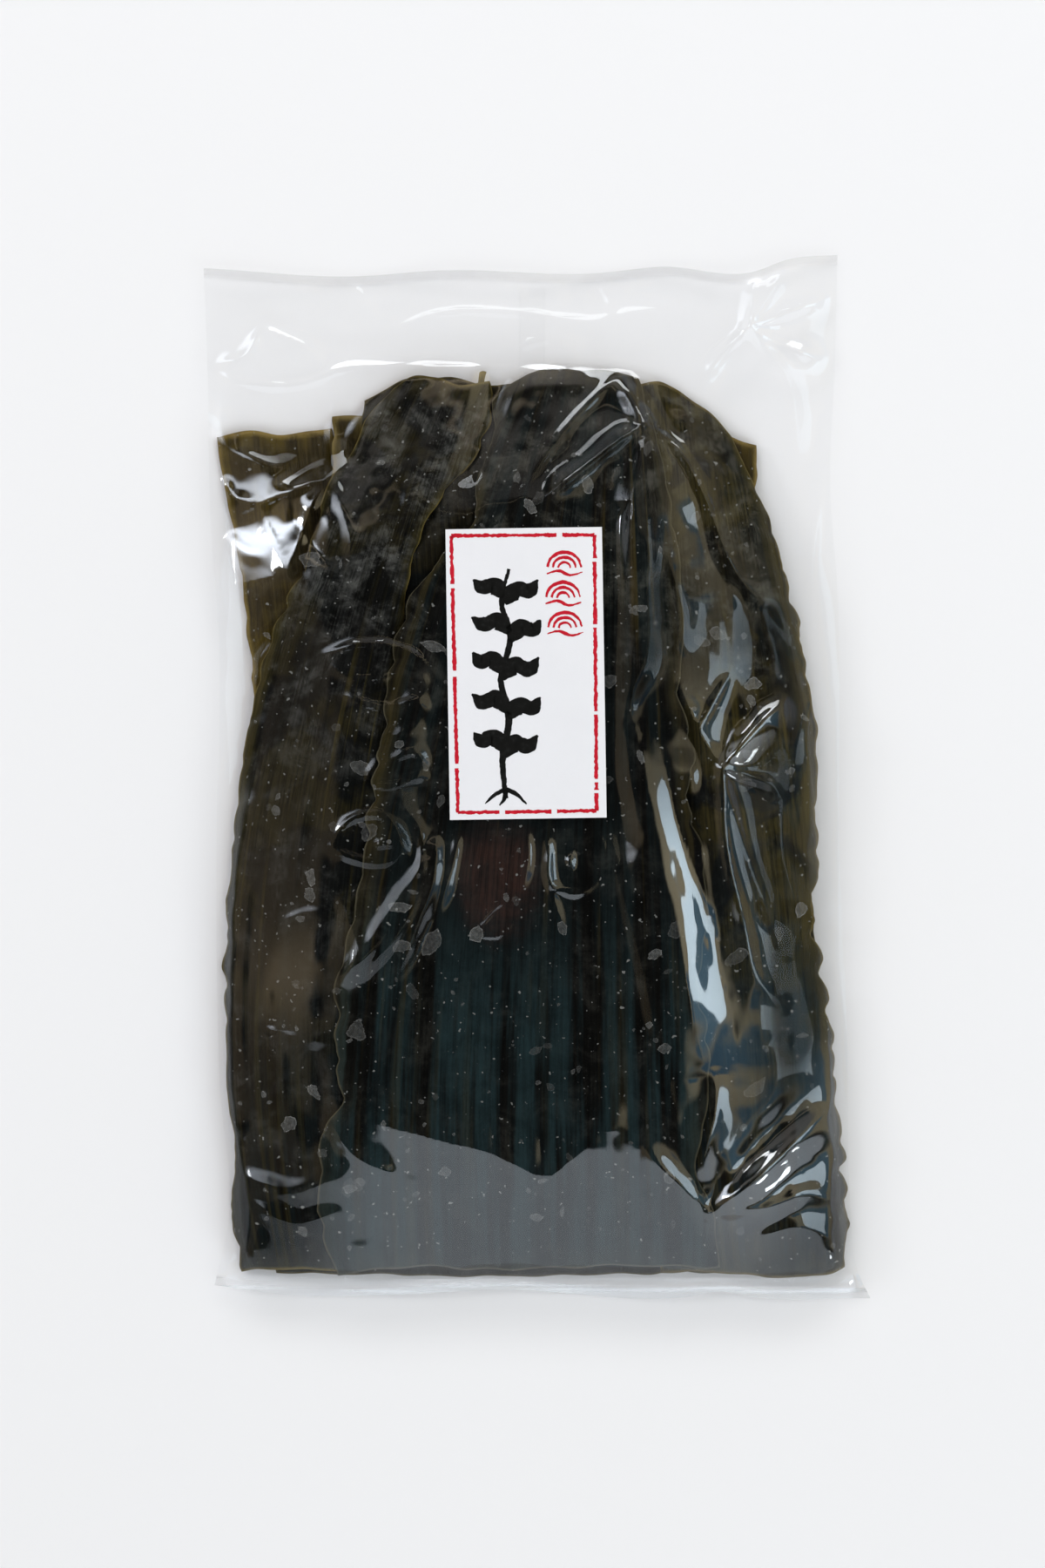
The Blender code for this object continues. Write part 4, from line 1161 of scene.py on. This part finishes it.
def frond_strokes():
    """A brushed kelp frond: a stem with broad wavy leaves to both sides, and a holdfast below."""
    stem = [(-9.0, 66.0), (-11.4, 56.0), (-8.6, 44.0), (-11.6, 31.0), (-9.0, 18.0), (-11.0, 6.0), (-10.0, -7.0)]
    strokes = [(stem, (0.9, 1.7, 2.0, 1.9, 2.3, 2.0, 1.4), 0.12)]
    leaves = [
        [(-10.6, 57.0), (-14.0, 60.8), (-17.4, 60.2), (-20.4, 62.6)],
        [(-10.4, 55.0), (-6.0, 59.6), (-3.0, 59.0), (0.2, 62.6)],
        [(-8.8, 45.6), (-13.0, 49.6), (-17.0, 48.4), (-21.0, 50.6)],
        [(-8.8, 43.0), (-4.6, 47.6), (-1.6, 46.6), (1.0, 49.8)],
        [(-11.0, 33.0), (-14.6, 37.4), (-18.0, 36.6), (-20.6, 39.4)],
        [(-11.2, 31.0), (-7.0, 35.4), (-3.0, 34.0), (0.6, 37.8)],
        [(-9.4, 20.6), (-13.4, 25.0), (-17.2, 23.6), (-20.8, 26.2)],
        [(-9.2, 18.6), (-5.2, 22.8), (-2.0, 21.6), (1.0, 25.2)],
        [(-10.6, 8.4), (-14.2, 12.6), (-17.6, 11.4), (-20.2, 14.0)],
        [(-10.8, 6.2), (-6.8, 10.8), (-3.4, 9.6), (0.2, 13.0)],
    ]
    strokes += [(leaf, (1.8, 5.8, 4.6, 4.8, 0.5), 0.18) for leaf in leaves]
    roots = [
        [(-10.2, -4.0), (-13.4, -5.8), (-16.6, -8.6)],
        [(-10.0, -5.0), (-10.6, -7.4), (-12.0, -9.2)],
        [(-10.0, -4.0), (-6.6, -5.6), (-3.4, -8.8)],
    ]
    strokes += [(root, (1.6, 1.2, 0.4), 0.10) for root in roots]
    return strokes


def brushed(name, strokes, rise):
    """One mesh of brush strokes that lie on the label as thin closed strips."""
    bm = bmesh.new()
    for k, (points, widths, roughness) in enumerate(strokes):
        line = polyline(points, 60)
        steps = np.concatenate([[0.0], np.cumsum(np.hypot(*np.diff(line, axis=0).T))])
        count = max(8, int(steps[-1] / 0.35))
        at = np.linspace(0.0, steps[-1], count + 1)
        centre = np.stack([np.interp(at, steps, line[:, 0]), np.interp(at, steps, line[:, 1])], axis=1)
        ahead = np.gradient(centre, axis=0)
        ahead /= np.hypot(*ahead.T)[:, None]
        beside = np.stack([-ahead[:, 1], ahead[:, 0]], axis=1)
        wide = np.interp(at / steps[-1], np.linspace(0, 1, len(widths)), widths) / 2
        edges = [wide + roughness * (wave_noise(at, at * 0, 0.9, 31 + k + 7 * side)
                                     + 0.6 * wave_noise(at, at * 0, 0.4, 61 + k + 7 * side)) for side in (0, 1)]
        lower, upper = (np.maximum(edge, 0.08) for edge in edges)
        verts = bmesh.ops.create_grid(bm, x_segments=count, y_segments=1, size=0.5)["verts"]
        faces = {face for vert in verts for face in vert.link_faces}
        raised = bmesh.ops.extrude_face_region(bm, geom=list(faces))["geom"]
        raised = [vert for vert in raised if isinstance(vert, bmesh.types.BMVert)]
        bmesh.ops.translate(bm, vec=(0, 0, 1), verts=raised)
        for vert in verts + raised:
            i = int(round((vert.co.x + 0.5) * count))
            offset = upper[i] if vert.co.y > 0 else -lower[i]
            place = centre[i] + beside[i] * offset
            vert.co = (place[0], place[1], vert.co.z)
    bmesh.ops.recalc_face_normals(bm, faces=bm.faces)
    mesh = bpy.data.meshes.new(name)
    bm.to_mesh(mesh)
    bm.free()
    places = np.empty(len(mesh.vertices) * 3)
    mesh.vertices.foreach_get("co", places)
    x, y, layer = places.reshape(-1, 3).T
    paper = node_heights("label", x, y, True)
    z = np.where(np.isnan(paper), np.nanmean(paper), paper) + (layer - 0.4) * rise / MM
    mesh.vertices.foreach_set("co", (np.stack([x, y, z], axis=1) * MM).ravel())
    mesh.update()
    return mesh


# ---------------------------------------------------------------------------------------------------------
# Operators.


class KELPBAG_OT_blades(bpy.types.Operator):
    """Lays the dried blades on each other, from the back of the stack to its front"""

    bl_idname = "kelp_bag.blades"
    bl_label = "Dried Blades"

    def execute(self, context):
        sizes = context.scene.kelp_bag_sizes
        measure_stack(sizes.blade_drop)
        for blade in BLADES:
            lay_blade(blade, sizes.blade_thickness)
        return {"FINISHED"}


class KELPBAG_OT_flakes(bpy.types.Operator):
    """Scatters pale flakes and specks over the uppermost kelp"""

    bl_idname = "kelp_bag.flakes"
    bl_label = "Pale Flakes"

    def execute(self, context):
        colours = context.scene.kelp_bag_colours
        rng = np.random.default_rng(7)
        top = Field(blurred(spread(Stack.kelp_top.heights, 1), 0.8))
        bm = bmesh.new()
        rim = bm.verts.layers.float.new("rim")
        strength = bm.verts.layers.float.new("strength")
        for count, small, large, sides, corners, faint in FLAKE_KINDS:
            made = 0
            while made < count:
                x, y = rng.uniform(-100, 100), rng.uniform(-155, 125)
                size = small + (large - small) * rng.uniform() ** 2
                if Stack.inside_front.read(np.array([x]), np.array([y]))[0] < size + 1.0:
                    continue
                made += 1
                radii = flake_reach(rng, size, sides, corners)
                squeeze = rng.uniform(0.45, 1.0)
                angle = rng.uniform(0, np.pi)
                shows = rng.uniform(faint, 1.0)
                ring = bmesh.ops.create_circle(bm, cap_ends=True, cap_tris=True, segments=sides, radius=1.0)
                for vert in ring["verts"]:
                    theta = np.arctan2(vert.co.y, vert.co.x)
                    vert[rim] = min(1.0, np.hypot(vert.co.x, vert.co.y))
                    vert[strength] = shows
                    reach = vert[rim] * radii[int(round(theta / (2 * np.pi) * sides)) % sides]
                    px, py = reach * np.cos(theta), reach * squeeze * np.sin(theta)
                    fx = x + px * np.cos(angle) - py * np.sin(angle)
                    fy = y + px * np.sin(angle) + py * np.cos(angle)
                    fz = top.read(np.array([fx]), np.array([fy]))[0] + (0.3 if size > 1.4 else 0.12)
                    vert.co = Vector((fx, fy, fz)) * MM
        for face in bm.faces:
            face.smooth = True
        mesh = bpy.data.meshes.new("pale_flakes")
        bm.to_mesh(mesh)
        bm.free()
        mesh.materials.append(flake_material(tuple(colours.flake)))
        link("pale_flakes", mesh, "dried_kelp")
        return {"FINISHED"}


class KELPBAG_OT_film(bpy.types.Operator):
    """Drapes the clear front film over the blades, and closes the bag with its back film and seam"""

    bl_idname = "kelp_bag.film"
    bl_label = "Clear Film"

    def execute(self, context):
        sizes = context.scene.kelp_bag_sizes
        u, v, x, y, height, to_edge = film_front(FILM_CELLS, sizes.film_clearance, sizes.film_inset)
        film = film_material()
        kelp_below = Field(blurred((Stack.kelp_top.heights > 0).astype(float), 1.5))

        def front_surface(gu, gv, layer):
            i = np.rint(gu * FILM_CELLS[0]).astype(int)
            j = np.rint(gv * FILM_CELLS[1]).astype(int)
            return x[j, i], y[j, i], height[j, i]

        mesh, gu, gv = grid_mesh("front_film", FILM_CELLS, front_surface)
        gx, gy = patch_places(BAG_SIDES, gu, gv)
        to_end = np.minimum(gv, 1 - gv) * 332.0
        add_values(mesh, "seal", 1.0 - smoothstep(SEAL_BAND - 0.3, SEAL_BAND + 0.3, to_end))
        add_values(mesh, "over_kelp", kelp_below.read(gx, gy))
        add_values(mesh, "gleam", np.clip(1.0 + folded(gx, gy, GLEAMS), *GLEAM_LIMITS))
        add_values(mesh, "flap", smoothstep(-160.5, -162.0, gy) * smoothstep(-167.2, -166.2, gy))
        mesh.materials.append(film)
        link("front_film", mesh, "clear_film", "bag")

        bu, bv = np.meshgrid(np.linspace(0, 1, BACK_CELLS[0] + 1), np.linspace(0, 1, BACK_CELLS[1] + 1))
        bx, by = patch_places(BAG_SIDES, bu.ravel(), bv.ravel())
        bx, by = bx.reshape(bu.shape), by.reshape(bu.shape)
        under = blurred(filled(node_heights("bag", bx * 0.9985, by * 0.9985, False)), 1.5)
        edge_z = height[np.rint(bv * FILM_CELLS[1]).astype(int), np.rint(bu * FILM_CELLS[0]).astype(int)]
        back_edge = distance_inside(outline_of(BAG_SIDES), bx, by)
        loose = smoothstep(2.0, 12.0, back_edge)
        back = under + 0.35 + wave_noise(bx, by, 18.0, 8) * 0.25 * loose
        back = np.maximum(back, 0.15)
        back = np.minimum(back, edge_z - 0.15)
        joined = smoothstep(0.0, 2.5, back_edge)
        back = edge_z * (1 - joined) + back * joined

        def back_surface(gu, gv, layer):
            i = np.rint(gu * BACK_CELLS[0]).astype(int)
            j = np.rint(gv * BACK_CELLS[1]).astype(int)
            return bx[j, i], by[j, i], back[j, i]

        mesh, gu, gv = grid_mesh("back_film", BACK_CELLS, back_surface)
        mesh.flip_normals()
        gx, gy = patch_places(BAG_SIDES, gu, gv)
        to_end = np.minimum(gv, 1 - gv) * 332.0
        add_values(mesh, "seal", 1.0 - smoothstep(SEAL_BAND - 0.3, SEAL_BAND + 0.3, to_end))
        add_values(mesh, "over_kelp", kelp_below.read(gx, gy))
        add_values(mesh, "gleam", np.ones(gx.shape))
        mesh.materials.append(film)
        link("back_film", mesh, "clear_film", "bag")

        def seam_surface(gu, gv, layer):
            sx = SEAM_X + (gu - 0.5) * 2.0 * SEAM_HALF_WIDTH + 0.5 * wave_noise(gv * 300.0, gv * 0, 60.0, 9)
            sy = -162.0 + gv * 320.0
            lift = np.maximum(0.35 + wave_noise(sx, sy, 18.0, 8) * 0.25, 0.15)
            return sx, sy, lift - 0.10

        mesh, gu, gv = grid_mesh("back_seam", (10, 160), seam_surface)
        mesh.flip_normals()
        add_values(mesh, "seal", 0.06 + 0.30 * smoothstep(0.40, 0.44, np.abs(gu - 0.5)))
        add_values(mesh, "gleam", np.full(gu.shape, 0.5))
        mesh.materials.append(film)
        link("back_seam", mesh, "clear_film")
        return {"FINISHED"}


class KELPBAG_OT_label(bpy.types.Operator):
    """Finishes the label's paper and brushes its red border, its waves and its kelp frond"""

    bl_idname = "kelp_bag.label"
    bl_label = "Label"

    def execute(self, context):
        sizes = context.scene.kelp_bag_sizes
        colours = context.scene.kelp_bag_colours
        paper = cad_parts["label"]
        material = paper_material(tuple(colours.paper))
        if paper.material_slots:
            paper.material_slots[0].material = material
        else:
            paper.data.materials.append(material)
        red = ink_material("red_ink", tuple(colours.red_ink))
        black = ink_material("black_ink", tuple(colours.black_ink))
        for name, strokes, ink in (
            ("label_border", border_strokes(), red),
            ("label_waves", wave_strokes(), red),
            ("label_frond", frond_strokes(), black),
        ):
            mesh = brushed(name, strokes, sizes.ink_rise)
            mesh.materials.append(ink)
            link(name, mesh, "label_paper")
        return {"FINISHED"}


class KELPBAG_OT_stage(bpy.types.Operator):
    """Sets the pale floor, the soft lights and the camera straight above the bag"""

    bl_idname = "kelp_bag.stage"
    bl_label = "Stage"

    def execute(self, context):
        scene = context.scene
        bm = bmesh.new()
        bmesh.ops.create_grid(bm, x_segments=1, y_segments=1, size=6.0)
        mesh = bpy.data.meshes.new("floor")
        bm.to_mesh(mesh)
        bm.free()
        mesh.materials.append(floor_material(tuple(scene.kelp_bag_colours.floor)))
        floor = bpy.data.objects.new("floor", mesh)
        scene.collection.objects.link(floor)

        aim = Vector((STAGE_CENTRE[0] * MM, STAGE_CENTRE[1] * MM, 0.01))
        for name, slope, half_size, colour, brightness in SOFTBOXES:
            squared = slope[0] ** 2 + slope[1] ** 2
            size = [LIGHT_DISTANCE * 4.0 * half / (1.0 + squared) for half in half_size]
            light = bpy.data.lights.new(name, "AREA")
            light.shape = "RECTANGLE"
            light.size, light.size_y = size
            light.color = colour
            light.energy = brightness * np.pi * size[0] * size[1]
            item = bpy.data.objects.new(name, light)
            towards = Vector((2 * slope[0], 2 * slope[1], 1.0 - squared)) / (1.0 + squared)
            item.location = aim + towards * LIGHT_DISTANCE
            item.rotation_euler = towards.to_track_quat("Z", "Y").to_euler()
            item.visible_camera = False
            scene.collection.objects.link(item)

        world = bpy.data.worlds.new("studio")
        scene.world = world
        tree = Tree(world)
        direction = tree.named("ShaderNodeTexCoord", "Generated")
        parts = tree.node("ShaderNodeSeparateXYZ", {}, {"Vector": direction})
        x, y = (part / (parts[2] + 1.0).most(0.01) for part in parts[:2])
        outwards = (x * x + y * y) ** 0.5
        colour = tree.mix(outwards.rise(0.70, 0.90), DARK_CEILING, PALE_WALL)
        for name, (cx, cy), (half_x, half_y), soft, card in CARDS:
            inside_x = abs(x - cx).rise(half_x + soft, half_x - soft)
            inside_y = abs(y - cy).rise(half_y + soft, half_y - soft)
            colour = tree.mix(inside_x * inside_y, colour, card)
        background = tree.node("ShaderNodeBackground", {}, {"Color": colour, "Strength": 1.0})[0]
        tree.node("ShaderNodeOutputWorld", {}, {"Surface": background})

        camera_data = bpy.data.cameras.new("camera")
        camera_data.lens = CAMERA_LENS
        camera_data.sensor_width = SENSOR
        camera_data.clip_start = 0.01
        camera = bpy.data.objects.new("camera", camera_data)
        camera.location = (STAGE_CENTRE[0] * MM, STAGE_CENTRE[1] * MM, CAMERA_HEIGHT)
        scene.collection.objects.link(camera)
        scene.camera = camera
        scene.view_settings.view_transform = "Standard"
        return {"FINISHED"}


OPERATORS = (
    KELPBAG_OT_blades,
    KELPBAG_OT_flakes,
    KELPBAG_OT_film,
    KELPBAG_OT_label,
    KELPBAG_OT_stage,
)


class KELPBAG_PT_sidebar(bpy.types.Panel):
    bl_label = "Kelp Bag"
    bl_idname = "KELPBAG_PT_sidebar"
    bl_space_type = "VIEW_3D"
    bl_region_type = "UI"
    bl_category = "Kelp Bag"

    def draw(self, context):
        for group in (context.scene.kelp_bag_sizes, context.scene.kelp_bag_colours):
            box = self.layout.box()
            for name in group.bl_rna.properties.keys():
                if name not in ("rna_type", "name"):
                    box.prop(group, name)
        for operator in OPERATORS:
            self.layout.operator(operator.bl_idname)


CLASSES = (KelpBagSizes, KelpBagColours, *OPERATORS, KELPBAG_PT_sidebar)


def register():
    for item in CLASSES:
        bpy.utils.register_class(item)
    bpy.types.Scene.kelp_bag_sizes = PointerProperty(type=KelpBagSizes)
    bpy.types.Scene.kelp_bag_colours = PointerProperty(type=KelpBagColours)


def unregister():
    del bpy.types.Scene.kelp_bag_colours
    del bpy.types.Scene.kelp_bag_sizes
    for item in reversed(CLASSES):
        bpy.utils.unregister_class(item)


def main():
    register()
    bpy.ops.kelp_bag.stage()
    bpy.ops.kelp_bag.blades()
    bpy.ops.kelp_bag.flakes()
    bpy.ops.kelp_bag.film()
    bpy.ops.kelp_bag.label()


if __name__ == "__main__":
    main()
